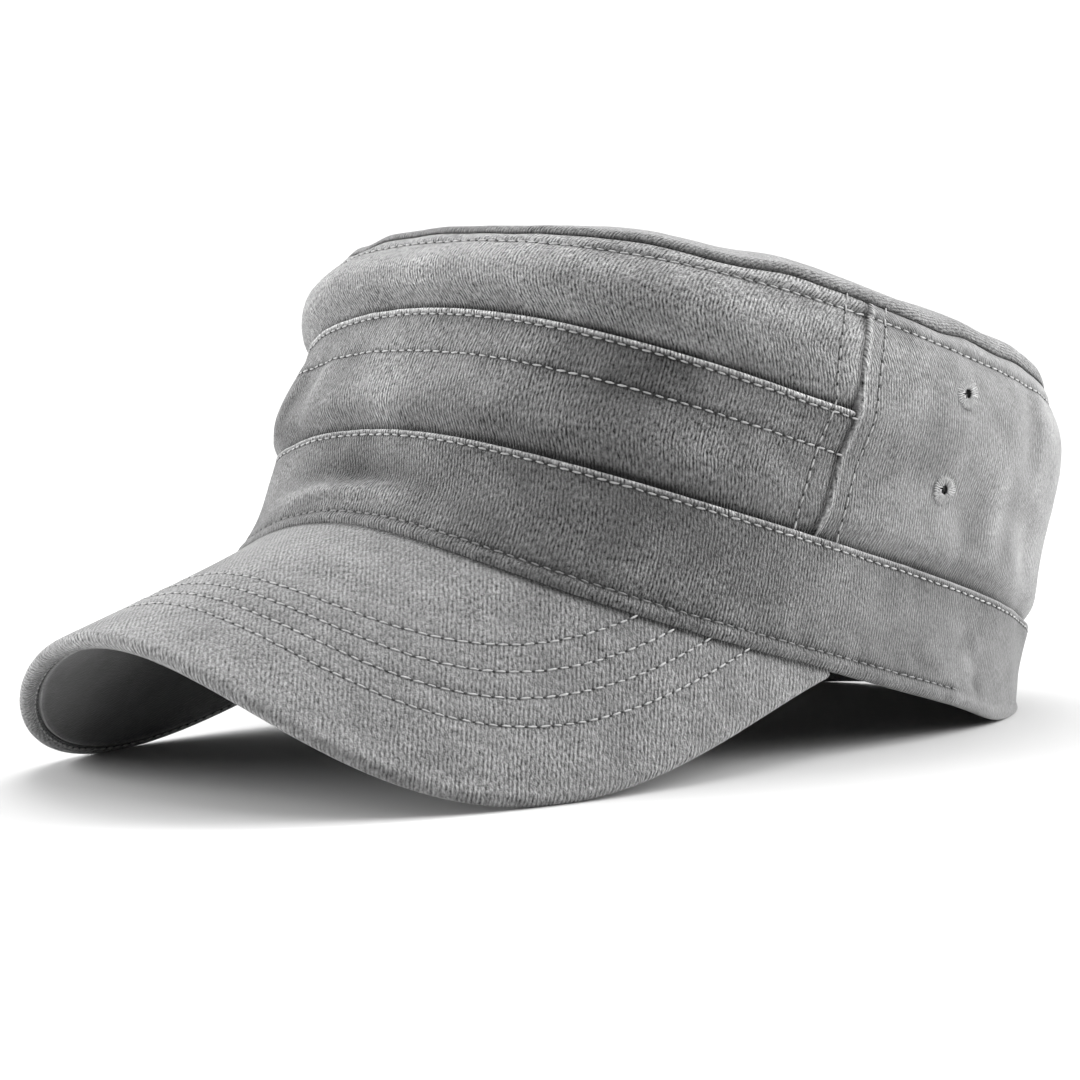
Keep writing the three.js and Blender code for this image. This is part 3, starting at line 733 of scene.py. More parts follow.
front_turns = turns_between(*FRONT, True)
upper_rows = rows_between(UPPER_SEAM - LAP, TOP_SEAM, (UPPER_SEAM, TOP_SEAM - TOP_ROW, TOP_SEAM))
upper_profile = folded_wall(upper_rows, lambda h: tuck(h, UPPER_SEAM, PANEL_WALL), PANEL_WALL, "cut", "seam")
front_upper = add_crown_panel(
    "front_upper_cloth", front_turns, upper_profile, shade=1.32, recesses=(UPPER_SEAM,), seam_edge=-0.7
)
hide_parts("front_upper_panel")
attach(front_upper, "root")


# Front middle panel
# The strip of the crown between the upper seam and the band. Its top edge is folded under and stitched
# down over the upper panel, and one plain row of stitches runs along it. The band laps its lower edge.
middle_features = (BAND_TOP, BAND_TOP + MIDDLE_ROW, UPPER_SEAM - EDGE_ROW, UPPER_SEAM)
middle_rows = rows_between(BAND_TOP - LAP, UPPER_SEAM, middle_features)
middle_profile = folded_wall(middle_rows, lambda h: tuck(h, BAND_TOP, BAND_WALL), PANEL_WALL, "cut", "fold")
front_middle = add_crown_panel(
    "front_middle_cloth",
    front_turns,
    middle_profile,
    shade=1.08,
    edges=(UPPER_SEAM,),
    recesses=(BAND_TOP,),
    seam_edge=-0.7,
)
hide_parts("front_middle_panel")
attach(front_middle, "root")


# Side and back panel
# One plain piece of the same twill from side seam to side seam round the back. Its edges turn in at the
# seams, and two small round air holes are punched through it on each side.
HOLE_RADIUS = 2.1
DRILL_LENGTH = 12
DRILL_SIDES = 24

back_turns = turns_between(-180 - SEAM_TURN, SEAM_TURN, True)
back_rows = rows_between(BAND_TOP - LAP, TOP_SEAM, (BAND_TOP, TOP_SEAM - TOP_ROW, TOP_SEAM))
back_profile = folded_wall(back_rows, lambda h: tuck(h, BAND_TOP, BAND_WALL), PANEL_WALL, "cut", "seam")
back = add_crown_panel(
    "back_cloth", back_turns, back_profile, shade=1.0, recesses=(BAND_TOP,), seam_edge=0.9
)


def eyelet_places():
    """Name, middle and way out of each air hole, on the level cap."""
    for side, turn in (("left", EYELET_TURN), ("right", 180 - EYELET_TURN)):
        for row, level in EYELET_LEVELS.items():
            middle, out = eyelet_place(turn, level)
            height = np.interp(level, LEVELS, STOREYS)
            middle = middle + out * crown_crumples(np.float64(turn), np.float64(height))
            yield f"eyelet_{side}_{row}", middle, out


def placed_at(middle, out):
    """What moves a shape from the origin to a place in the wall, so that its upper side faces out."""
    turned = Vector(leant(out)).to_track_quat("Z", "Y").to_matrix().to_4x4()
    return Matrix.Translation(at_rest(middle)) @ turned


for hole_name, hole_middle, hole_out in eyelet_places():
    drill_mesh = bpy.data.meshes.new(hole_name + "_drill")
    drill_shape = bmesh.new()
    bmesh.ops.create_cone(
        drill_shape,
        cap_ends=True,
        segments=DRILL_SIDES,
        radius1=HOLE_RADIUS * MM,
        radius2=HOLE_RADIUS * MM,
        depth=DRILL_LENGTH * MM,
    )
    drill_place = placed_at(hole_middle, hole_out)
    bmesh.ops.transform(drill_shape, matrix=drill_place, verts=drill_shape.verts)
    drill_shape.to_mesh(drill_mesh)
    drill_shape.free()
    drill = bpy.data.objects.new(hole_name + "_drill", drill_mesh)
    bpy.context.scene.collection.objects.link(drill)
    cut = back.modifiers.new("air_hole", "BOOLEAN")
    cut.operation = "DIFFERENCE"
    cut.solver = "MANIFOLD"
    cut.object = drill
    depsgraph = bpy.context.evaluated_depsgraph_get()
    holed = bpy.data.meshes.new_from_object(back.evaluated_get(depsgraph), depsgraph=depsgraph)
    back.modifiers.clear()
    back.data = holed
    bpy.data.objects.remove(drill)
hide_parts("back_panel")
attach(back, "root")


# Crown top
# The flat oval lid of the crown, cut from the same twill. It is sewn to the upper edges of the panels with
# the allowances turned inside, so its edge rolls over into a fine seam line, darkened with painted shade.
DOME_HEIGHT = 12.0
FRONT_ROLL = 1.5
BACK_ROLL = 4.5
TOP_LIFT = 0.1
TOP_CRUMPLES = (((24, 24, 24), 0.5, 21), ((9, 9, 9), 0.25, 22))
TOP_CALM = 12

# How the edge turns in at its seam, as insets and lifts, from the inside out
TOP_ALLOWANCE = ((1.2, -0.1), (0.5, -0.05), (0.2, 0.1))

# Points lie in rings that crowd together towards the rim
TOP_TURN_STEP = 0.75
OUTER_RINGS = 64
INNER_RINGS = 24
RING_CROWDING = 1.7

# Shade of the lid, lowered as painted shade; painted shade in the dark line of its seam; and the lighter
# worn cloth beside it
TOP_PAINTED_SHADE = 0.8
SEAM_LINE_PAINTED_SHADE = 0.6
SEAM_LINE_WIDTH = 1.3
TOP_WEAR = 0.1
TOP_WEAR_PLACE = 3
TOP_WEAR_WIDTH = 1.5
TOP_GRAIN = 0.8

top_turns = np.linspace(*ROUND, round(360 / TOP_TURN_STEP) + 1)[:, None]
plain_rim = crown_form(top_turns, np.full(1, TOP_SEAM))
top_centre = plain_rim[:-1, 0].mean(axis=0)


def top_points(share, wall):
    """Points of the lid at a share of the way out from its centre, on its face or a wall below it."""
    rim = crown_cloth(top_turns, np.full(share.shape, TOP_SEAM), wall)
    ahead = (1 + np.sin(np.radians(top_turns))) / 2
    radius = BACK_ROLL + (FRONT_ROLL - BACK_ROLL) * ahead
    reach = np.linalg.norm((plain_rim - top_centre)[..., :2], axis=-1)
    short = 1 - np.minimum((1 - share) * reach / radius, 1)
    rise = radius * np.sqrt(1 - short**2) + (DOME_HEIGHT + FRONT_ROLL - radius) * (1 - share**3)
    points = top_centre + (rim - top_centre) * share[..., None]
    rim_height = top_centre[2] + (rim[..., 2] - top_centre[2]) * share**2
    calm = np.clip((1 - share) * TOP_CALM, 0, 1)
    crumple = crumpled(points, TOP_CRUMPLES)
    points[..., 2] = rim_height + TOP_LIFT + np.maximum(rise - wall, 0) + calm * crumple
    return points


outer_shares = 1 - np.linspace(0, 1, OUTER_RINGS)[None, :] ** RING_CROWDING
inner_shares = 1 - np.linspace(1, 0, INNER_RINGS)[None, :] ** RING_CROWDING
top_outside = top_points(outer_shares, 0.0)
top_inside = top_points(inner_shares, PANEL_WALL)
rim_out = crown_outward(top_turns, np.full((1, 1), TOP_SEAM))
turned_in = [top_outside[:, :1] - rim_out * inset + np.array([0, 0, lift]) for inset, lift in TOP_ALLOWANCE]
top_grid = np.concatenate([*turned_in, top_outside, top_inside], axis=1)
from_rim = np.linalg.norm(top_grid - top_grid[:, :1], axis=-1)
# Painted shade over the lid and along its seam line, and wear beside it
top_tone = TOP_PAINTED_SHADE - SEAM_LINE_PAINTED_SHADE * swell(from_rim, SEAM_LINE_WIDTH)
top_tone = top_tone + TOP_WEAR * swell(from_rim - TOP_WEAR_PLACE, TOP_WEAR_WIDTH)
steps = np.linalg.norm(np.diff(top_grid, axis=1), axis=-1)
from_centre = np.concatenate([0 * steps[:, :1], np.cumsum(steps, axis=1)], axis=1)
from_centre = np.abs(from_centre - from_centre[:, [len(TOP_ALLOWANCE) + OUTER_RINGS - 1]])
top_way = np.concatenate([np.cos(np.radians(top_turns)), np.sin(np.radians(top_turns))], axis=1)[:, None]
top_pattern = from_centre[..., None] * top_way
top = add_cloth("crown_top_cloth", top_grid, top_pattern, top_tone, crown_twill, True, TOP_GRAIN)
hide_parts("crown_top")
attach(top, "root")


# Band
# A deep doubled strip of twill round the foot of the crown. Its top edge is folded and stitched down over
# the panels, and its foot is folded under and sewn to the peak, so it puffs out between foot and stitches.
band_turns = turns_between(*ROUND, False)
band_rows = rows_between(0, BAND_TOP, (0, FOOT_ROW, BAND_TOP - EDGE_ROW, BAND_TOP))
band_profile = folded_wall(band_rows, lambda h: 0.0, BAND_WALL, "fold", "fold")
band = add_crown_panel("band_cloth", band_turns, band_profile, shade=0.71, edges=(BAND_TOP,))
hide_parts("band")
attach(band, "root")


# Peak cover
# The same twill stretched over a stiff board and wrapped round its edge to the underside, where its rim is
# stitched down. The board is bent over the wearer's brow, so the peak's two sides hang down as lobes.
PEAK_LENGTH = 68.5
PEAK_THICKNESS = 4.0
PEAK_END_THICKNESS = 2.8
PEAK_THINNING = 0.6
PEAK_COVER_WALL = 2.5
PEAK_RIM = 3.5
PEAK_SLOPE = 33
PEAK_END_TURN = 9
PEAK_SPREAD = 0.83
PEAK_DROOP = 2.1
PEAK_FULLNESS = 4.8
PEAK_SHOULDER = 0.92

# The peak starts a little behind its joint with the band
JOINT_START = -0.9

# Four rows of stitches follow the edge: how far in from it each runs at the front and where it meets the
# band, and the turn at which it meets the band
PEAK_ROWS = ((36.5, 47, 42), (30.5, 40, 35), (24.5, 32, 31), (18.5, 22.6, 25))

PEAK_CRUMPLES = (((26, 26, 26), 0.12, 31),)
PEAK_GROOVE_DEPTH = 0.22
PEAK_GROOVE_WIDTH = 0.8
PEAK_PUCKER = 0.1
PEAK_PUCKER_LUMP = (3.6, 3.6, 3.6)
PEAK_PUCKER_WIDTH = 2.5
PEAK_PUCKER_SEED = 40
RIM_GROOVE_DEPTH = 0.25
RIM_GROOVE_PLACE = 0.72
RIM_GROOVE_WIDTH = 0.3
RIM_STEP = 0.25
RIM_EDGE_SHARE = 0.85

# Shade of the cover: painted light and shade with its relief, a painted shadow in the joint, wear and a
# painted highlight at the edge, painted shade in the rows and out of sight
PEAK_RELIEF_PAINTED_SHADING = 0.3
JOINT_PAINTED_SHADOW = 0.9
JOINT_PAINTED_SHADOW_WIDTH = 1.1
PEAK_EDGE_WEAR_AND_HIGHLIGHT = 0.2
PEAK_EDGE_WEAR_AND_HIGHLIGHT_WIDTH = 2
PEAK_GROOVE_PAINTED_SHADE = 0.3
PEAK_GROOVE_PAINTED_SHADE_WIDTH = 0.65
HIDDEN_PAINTED_SHADE = 0.25

PEAK_COLUMNS = 320
PEAK_TOP_POINTS = 150
PEAK_RIM_POINTS = 8
PEAK_INNER_POINTS = 16


def peak_direction(turn):
    """The way that the peak's straight lines run out from the band."""
    across = np.cos(np.radians(turn))
    slope = math.radians(PEAK_SLOPE)
    ahead = np.full_like(across, -math.cos(slope))
    way = np.stack([PEAK_SPREAD * across, ahead, -math.sin(slope) - PEAK_DROOP * across**2], axis=-1)
    return way / np.linalg.norm(way, axis=-1, keepdims=True)


def peak_width(turn):
    """How far the peak reaches out from the band."""
    share = np.minimum(np.abs(np.cos(np.radians(turn))) / math.cos(math.radians(PEAK_END_TURN)), 1)
    return PEAK_LENGTH * (1 - share**PEAK_FULLNESS) ** PEAK_SHOULDER


def turn_at_width(width):
    """The turn on the left side at which the peak reaches out so far."""
    rest = 1 - (width / PEAK_LENGTH) ** (1 / PEAK_SHOULDER)
    return math.degrees(math.acos(math.cos(math.radians(PEAK_END_TURN)) * rest ** (1 / PEAK_FULLNESS)))


def peak_surface(turn, reach):
    """Points on the plain top of the peak."""
    return crown_form(turn, np.float64(0)) + peak_direction(turn) * reach[..., None]


def peak_down(turn, reach):
    """The way down through the peak, square to its top."""
    along = peak_surface(turn + SMALL_STEP, reach) - peak_surface(turn - SMALL_STEP, reach)
    down = np.cross(peak_direction(turn), along)
    return down / np.linalg.norm(down, axis=-1, keepdims=True)


def peak_depth(turn):
    """How thick the peak is. It thins towards its two ends."""
    share = np.clip(peak_width(turn) / PEAK_LENGTH / PEAK_THINNING, 0, 1)
    return PEAK_END_THICKNESS + (PEAK_THICKNESS - PEAK_END_THICKNESS) * eased(share)


def peak_row_reach(turn, row):
    """How far out from the band a row of stitches runs."""
    front, meeting, meeting_turn = row
    share = ((90 - turn) / (90 - meeting_turn)) ** 2
    return peak_width(turn) - front - (meeting - front) * share


def peak_relief(turn, reach):
    """How far the rows of stitches press the cover in and pucker it."""
    points = peak_surface(turn, reach)
    relief = crumpled(points, PEAK_CRUMPLES)
    for number, row in enumerate(PEAK_ROWS):
        away = reach - peak_row_reach(turn, row)
        puckers = PEAK_PUCKER * lumps(points, PEAK_PUCKER_LUMP, PEAK_PUCKER_SEED + number)
        relief = relief - PEAK_GROOVE_DEPTH * swell(away, PEAK_GROOVE_WIDTH)
        relief = relief + puckers * swell(away, PEAK_PUCKER_WIDTH)
    return relief


def unrolled(turn, reach):
    """The peak's bent surface laid out flat, as its cloth was cut, with its straight lines side by side."""
    middle = peak_surface(turn, np.full_like(turn, PEAK_LENGTH / 2))[:, 0]
    way = peak_direction(turn[:, 0])
    step = np.diff(middle, axis=0)
    size = np.linalg.norm(step, axis=-1)
    before = np.arccos(np.sum(step * way[:-1], axis=-1) / size)
    after = np.arccos(np.sum(step * way[1:], axis=-1) / size)
    angle = np.concatenate([[0], np.cumsum(after - before)])
    angle = angle - angle[len(angle) // 2] + math.pi / 2
    heading = angle[:-1] - before
    places = np.stack([size * np.cos(heading), size * np.sin(heading)], axis=-1)
    places = np.concatenate([[[0, 0]], np.cumsum(places, axis=0)])
    ways = np.stack([np.cos(angle), np.sin(angle)], axis=-1)
    return places[:, None] + ways[:, None] * (reach - PEAK_LENGTH / 2)[..., None]


# Each column of points starts at the band, runs out over the top, bends round the edge, and comes back
# along the rim and the inner face. Reach is measured out from the band, and depth down from the top.
peak_share = np.linspace(-1, 1, PEAK_COLUMNS + 1)
peak_turn = (90 + (90 - turn_at_width(PEAK_RIM / 2)) * np.sin(peak_share * math.pi / 2))[:, None]
width, depth = peak_width(peak_turn), peak_depth(peak_turn)
edge_round = np.minimum(depth / 2, width / 2)
bend_start = width - edge_round
top_reach = JOINT_START + (bend_start - JOINT_START) * np.linspace(0, 1, PEAK_TOP_POINTS)[None, :]
bend = np.radians(np.arange(0, 181, BEND_STEP))[None, :]
bend_reach = bend_start + edge_round * np.sin(bend)
bend_depth = depth / 2 - depth / 2 * np.cos(bend)
rim_share = np.linspace(0, 1, PEAK_RIM_POINTS)[None, 1:]
rim_reach = bend_start - (np.minimum(PEAK_RIM, width / 2) - edge_round).clip(0.05) * rim_share
rim_groove = RIM_GROOVE_DEPTH * ridge(rim_share - RIM_GROOVE_PLACE, RIM_GROOVE_WIDTH)
rim_depth = depth - rim_groove + 0 * rim_reach
inner_share = np.linspace(0, 1, PEAK_INNER_POINTS)[None, :]
inner_start = rim_reach[:, -1:] - RIM_STEP
inner_reach = inner_start - (inner_start - JOINT_START) * inner_share
inner_depth = depth * PEAK_COVER_WALL / PEAK_THICKNESS + 0 * inner_reach
inner_depth[:, 0] = (depth * RIM_EDGE_SHARE)[:, 0]
reach = np.concatenate([top_reach, bend_reach, rim_reach, inner_reach], axis=1)
sunk = np.concatenate([0 * top_reach, bend_depth, rim_depth, inner_depth], axis=1)
lift = np.zeros(reach.shape)
lift[:, :PEAK_TOP_POINTS] = peak_relief(peak_turn, top_reach) * np.clip((bend_start - top_reach) / 3, 0, 1)
peak_points = peak_surface(peak_turn, reach) + peak_down(peak_turn, reach) * (sunk - lift)[..., None]

# The pattern runs on round the edge without a stretch
rim_start = bend_start + math.pi * (edge_round + depth / 2) / 2
bend_along = bend_start + (rim_start - bend_start) * bend / math.pi
rim_along = rim_start + bend_start - rim_reach
peak_flat = unrolled(peak_turn, np.concatenate([top_reach, bend_along, rim_along, inner_reach], axis=1))

# Painted light and shade with the relief, a painted shadow in the joint under the band's foot, and a lighter
# edge from wear and a painted highlight
peak_tone = 1 + PEAK_RELIEF_PAINTED_SHADING * lift - JOINT_PAINTED_SHADOW * swell(np.maximum(reach, 0), JOINT_PAINTED_SHADOW_WIDTH)
peak_tone = peak_tone + PEAK_EDGE_WEAR_AND_HIGHLIGHT * swell(reach - width, PEAK_EDGE_WEAR_AND_HIGHLIGHT_WIDTH)
# Painted shade in the grooves of the rows
for row in PEAK_ROWS:
    groove = swell(reach - peak_row_reach(peak_turn, row), PEAK_GROOVE_PAINTED_SHADE_WIDTH)
    peak_tone = peak_tone - PEAK_GROOVE_PAINTED_SHADE * groove
# Painted shade on the inner end of the wrapped rim and the inner face under the lining
peak_tone[:, -PEAK_INNER_POINTS - 3 :] = HIDDEN_PAINTED_SHADE

# The columns are listed backwards, so that the faces point outwards
PEAK_GREY = (0.172, 0.172, 0.172)
peak_twill = twill(
    "peak_grey_twill", PEAK_GREY, rib_lean=-45, rib_shade=0.85, rib_depth=0.0002, rib_pitch=0.00095
)
peak = add_cloth(
    "peak_cover_cloth", peak_points[:, ::-1], peak_flat[:, ::-1], peak_tone[:, ::-1], peak_twill, ring=False
)
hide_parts("peak_cover")
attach(peak, "root")


# Peak lining
# A plain cloth under the peak, given a darker grey as painted shade, cut to lie inside the wrapped rim. Its
# edge is turned under, so it stands up as a thin welt beside the row of stitches, lighter from wear and a
# painted highlight.
LINING_PAINTED_SHADE_GREY = (0.1, 0.1, 0.1)
LINING_POINTS = 60
LINING_LUMP = (17, 17, 17)
LINING_CRUMPLE = 0.25
LINING_CALM = 4
WELT = 0.35
WELT_WIDTH = 1.1
WELT_WEAR_AND_HIGHLIGHT = 1.6
WELT_WEAR_AND_HIGHLIGHT_WIDTH = 0.9

lining_turn = peak_turn[(peak_width(peak_turn) > 2.2 * PEAK_RIM)[:, 0]]
width, depth = peak_width(lining_turn), peak_depth(lining_turn)
upper_depth = depth * PEAK_COVER_WALL / PEAK_THICKNESS + SEAM_GAP
lining_edge = width - PEAK_RIM - SEAM_GAP
edge_round = (depth - upper_depth) / 2
flat_edge = lining_edge - edge_round
under_reach = JOINT_START + (flat_edge - JOINT_START) * np.linspace(0, 1, LINING_POINTS)[None, :]
under_depth = depth + WELT * swell(lining_edge - under_reach, WELT_WIDTH)
crumple = LINING_CRUMPLE * lumps(peak_surface(lining_turn, under_reach), LINING_LUMP, seed=51)
under_depth = under_depth + crumple * np.clip((lining_edge - under_reach) / LINING_CALM, 0, 1)
bend = np.radians(np.arange(BEND_STEP, 180, BEND_STEP))[None, :]
bend_reach = flat_edge + edge_round * np.sin(bend)
bend_depth = (depth + upper_depth + WELT) / 2 + (depth + WELT - upper_depth) / 2 * np.cos(bend)
over_reach = flat_edge - (flat_edge - JOINT_START) * inner_share
over_depth = upper_depth + 0 * over_reach
reach = np.concatenate([under_reach, bend_reach, over_reach], axis=1)
sunk = np.concatenate([under_depth, bend_depth, over_depth], axis=1)
lining_points = peak_surface(lining_turn, reach) + peak_down(lining_turn, reach) * sunk[..., None]
# Lighter along the welt, from wear and a painted highlight
lining_tone = 1 + WELT_WEAR_AND_HIGHLIGHT * swell(reach - lining_edge, WELT_WEAR_AND_HIGHLIGHT_WIDTH)
lining_flat = unrolled(lining_turn, reach)
lining_cloth = twill(
    "lining_cloth_with_painted_shade", LINING_PAINTED_SHADE_GREY, rib_lean=0, rib_shade=0.25, rib_depth=0.00006, rib_pitch=0.0009
)
lining = add_cloth("peak_lining_cloth", lining_points, lining_flat, lining_tone, lining_cloth, ring=False)
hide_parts("peak_lining")
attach(lining, "root")


# Rows of stitches on the crown and the band
# Lockstitch in a pale grey thread, about nine stitches to the inch; round the foot it takes a darker grey as
# painted shade. Each stitch is pulled down between two needle holes, so it shows as a plump dash with a dark
# hole at each end, a small bead of painted shadow.
STITCH_PITCH = 2.9
STITCH_SIZE = (2.25, 0.5, 0.45)
STITCH_WOBBLE = 0.1
STITCH_LIFT = 0.12
SIDE_STITCH_LIFT = 0.22
FOOT_STITCH_LIFT = 0.02
NEEDLE_HOLE_SIZE = (0.8, 0.66, 0.2)
NEEDLE_HOLE_LIFT = 0.05
BEAD_LEAST = 0.86
BEAD_MOST = 1.1
THREAD_GREY = (0.4, 0.4, 0.4)
FOOT_THREAD_PAINTED_SHADE_GREY = (0.2, 0.2, 0.2)
NEEDLE_HOLE_SHADOW_GREY = (0.035, 0.035, 0.035)
FIBRE_SCALE = 900.0
FIBRE_CONTRAST = 0.9
FIBRE_BASE = 0.55
FIBRE_DEPTH = 0.0002


def plain_material(name, colour, roughness):
    """A plain fibre finish with a fine uneven shade."""
    material = bpy.data.materials.new(name)
    material.use_nodes = True
    tree = material.node_tree
    tree.nodes.clear()
    place = add_node(tree, "ShaderNodeTexCoord").outputs["Object"]
    noise = {"Vector": place, "Scale": FIBRE_SCALE, "Detail": 2.0}
    fibres = add_node(tree, "ShaderNodeTexNoise", noise).outputs["Fac"]
    contrast = {0: fibres, 1: FIBRE_CONTRAST, 2: FIBRE_BASE}
    shade = add_node(tree, "ShaderNodeMath", contrast, operation="MULTIPLY_ADD").outputs[0]
    base = add_node(tree, "ShaderNodeVectorMath", {0: colour, "Scale": shade}, operation="SCALE").outputs[0]
    bump = {"Height": fibres, "Strength": 0.6, "Distance": FIBRE_DEPTH}
    relief = add_node(tree, "ShaderNodeBump", bump).outputs[0]
    inputs = {"Base Color": base, "Normal": relief, "Roughness": roughness, "Specular IOR Level": 0.3}
    surface = add_node(tree, "ShaderNodeBsdfPrincipled", inputs)
    add_node(tree, "ShaderNodeOutputMaterial", {"Surface": surface.outputs[0]})
    return material


thread = plain_material("pale_sewing_thread", THREAD_GREY, 0.75)
foot_thread_painted_shade = plain_material("sewing_thread_painted_shade", FOOT_THREAD_PAINTED_SHADE_GREY, 0.75)
# The needle holes are small beads of painted shadow
needle_hole = plain_material("needle_hole_shadow", NEEDLE_HOLE_SHADOW_GREY, 1.0)


def row_tree():
    """Nodes that lay a small plump bead again and again along a path, square to the cloth it lies on."""
    tree = bpy.data.node_groups.new("row_of_stitches", "GeometryNodeTree")
    interface = tree.interface
    interface.new_socket("Geometry", in_out="INPUT", socket_type="NodeSocketGeometry")
    for name in ("Pitch", "Length", "Width", "Height", "Shift", "Turn", "Wobble"):
        interface.new_socket(name, in_out="INPUT", socket_type="NodeSocketFloat")
    interface.new_socket("Seed", in_out="INPUT", socket_type="NodeSocketInt")
    interface.new_socket("Material", in_out="INPUT", socket_type="NodeSocketMaterial")
    interface.new_socket("Geometry", in_out="OUTPUT", socket_type="NodeSocketGeometry")
    given = tree.nodes.new("NodeGroupInput").outputs

    def made(kind, inputs=None, **settings):
        return add_node(tree, kind, inputs, **settings).outputs[0]

    def random_number(low, high):
        """A number for each bead, drawn from the row's seed. Its ends are the node's inputs 2 and 3."""
        ends = {2: low, 3: high, "Seed": given["Seed"]}
        return add_node(tree, "FunctionNodeRandomValue", ends, data_type="FLOAT").outputs[1]

    curve = made("GeometryNodeMeshToCurve", {"Mesh": given["Geometry"]})
    path = made("GeometryNodeResampleCurve", {"Curve": curve, "Length": given["Pitch"]}, mode="LENGTH")
    sphere = made("GeometryNodeMeshUVSphere", {"Segments": 8, "Rings": 7, "Radius": 0.5})
    sizes = {"X": given["Length"], "Y": given["Width"], "Z": given["Height"]}
    size = made("ShaderNodeCombineXYZ", sizes)
    shift = made("ShaderNodeCombineXYZ", {"X": given["Shift"]})
    bead = made("GeometryNodeTransform", {"Geometry": sphere, "Scale": size, "Translation": shift})
    tangent = made("GeometryNodeInputTangent")
    out = made("GeometryNodeInputNamedAttribute", {"Name": "out"}, data_type="FLOAT_VECTOR")
    upright = made("FunctionNodeAlignRotationToVector", {"Vector": out}, axis="Z")
    facing = {"Rotation": upright, "Vector": tangent}
    aimed = made("FunctionNodeAlignRotationToVector", facing, axis="X", pivot_axis="Z")
    low = made("ShaderNodeMath", {0: given["Wobble"], 1: -1.0}, operation="MULTIPLY")
    swayed = random_number(low, given["Wobble"])
    angle = made("ShaderNodeMath", {0: given["Turn"], 1: swayed}, operation="ADD")
    spin = made("ShaderNodeCombineXYZ", {"Z": angle})
    spun = made("FunctionNodeRotateRotation", {0: aimed, 1: spin}, rotation_space="LOCAL")
    grown = random_number(BEAD_LEAST, BEAD_MOST)
    places = {"Points": path, "Instance": bead, "Rotation": spun, "Scale": grown}
    laid = made("GeometryNodeInstanceOnPoints", places)
    real = made("GeometryNodeRealizeInstances", {"Geometry": laid})
    smooth = made("GeometryNodeSetShadeSmooth", {0: real})
    done = made("GeometryNodeSetMaterial", {"Geometry": smooth, "Material": given["Material"]})
    tree.links.new(done, tree.nodes.new("NodeGroupOutput").inputs[0])
    return tree


stitching = row_tree()


def sew(name, paths, material, size, seed, pitch=STITCH_PITCH, shift=0.0, turn=0.0, wobble=0.06, lift=0.0):
    """Beads along paths of points and ways out, level and in millimetres, made into one plain mesh."""
    mesh = bpy.data.meshes.new(name)
    places, edges, outs = [], [], []
    for points, out in paths:
        start = len(places)
        places += at_rest(points + lift * out).tolist()
        outs.append(leant(out))
        edges += [(start + n, start + n + 1) for n in range(len(points) - 1)]
    mesh.from_pydata(places, edges, [])
    ways = mesh.attributes.new("out", "FLOAT_VECTOR", "POINT")
    ways.data.foreach_set("vector", np.concatenate(outs).astype(np.float32).ravel())
    piece = bpy.data.objects.new(name, mesh)
    bpy.context.scene.collection.objects.link(piece)
    sewing = piece.modifiers.new("sewing", "NODES")
    sewing.node_group = stitching
    length, width, height = size
    values = {
        "Pitch": pitch * MM,
        "Length": length * MM,
        "Width": width * MM,
        "Height": height * MM,
        "Shift": shift * MM,
        "Turn": turn,
        "Wobble": wobble,
        "Seed": seed,
        "Material": material,
    }
    for socket in stitching.interface.items_tree:
        if socket.in_out == "INPUT" and socket.name in values:
            sewing[socket.identifier] = values[socket.name]
    depsgraph = bpy.context.evaluated_depsgraph_get()
    sewn = bpy.data.meshes.new_from_object(piece.evaluated_get(depsgraph), depsgraph=depsgraph)
    piece.modifiers.clear()
    piece.data = sewn
    return piece


def sew_row(name, paths, seed, lift=STITCH_LIFT, thread=thread):
    """A row of thread, and the needle holes between its stitches."""
    threads = sew(name + "_thread", paths, thread, STITCH_SIZE, seed, wobble=STITCH_WOBBLE, lift=lift)
    holes = sew(
        name + "_needle_holes",
        paths,
        needle_hole,
        NEEDLE_HOLE_SIZE,
        seed,
        shift=STITCH_PITCH / 2,
        lift=NEEDLE_HOLE_LIFT,
    )
    for piece, slot in ((threads, "thread"), (holes, "twill")):
        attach(piece, "root")


def crown_row(turn, height):
    """A row on the crown, as points on the cloth and the way out of it."""
    points = crown_cloth(turn, height, 0.0)
    along = crown_cloth(turn + 0.3, height, 0.0) - crown_cloth(turn - 0.3, height, 0.0)
    up = crown_form(turn, height + SMALL_STEP) - crown_form(turn, height - SMALL_STEP)
    out = np.cross(up, along)
    return points, out / np.linalg.norm(out, axis=-1, keepdims=True)


def level_path(row):
    """A row round the crown."""
    height, first, last = LEVEL_ROWS[row][:3]
    turn = np.linspace(first, last, round((last - first) * 2) + 1)
    return crown_row(turn, np.full(turn.shape, height))


def side_path(turn):
    """A row up the side seam, from the band to the top seam."""
    height = np.arange(BAND_TOP + 0.8, TOP_SEAM - 0.5, 0.5)
    return crown_row(np.full(height.shape, float(turn)), height)


# The foot row's thread is darkened as painted shade
sew_row("band_foot_row", [level_path("foot")], 1, lift=FOOT_STITCH_LIFT, thread=foot_thread_painted_shade)
sew_row("band_edge_row", [level_path("band_edge")], 2)
sew_row("middle_row", [level_path("middle")], 3)
sew_row("upper_edge_row", [level_path("upper_edge")], 4)
sew_row("top_row", [level_path("top")], 5)
sew_row("side_seam_rows", [side_path(turn) for turn in SIDE_ROW_TURNS], 6, lift=SIDE_STITCH_LIFT)


# Rows of stitches on the peak
# Four curved rows hold the cover to the board, and one row holds its rim beside the lining. The thread is
# the pale one of the crown, and the stitches are of the same length.
PAST_MEETING = 6
LEAST_REACH = 0.2
RIM_ROW = 0.9
RIM_ROW_SINK = 0.2


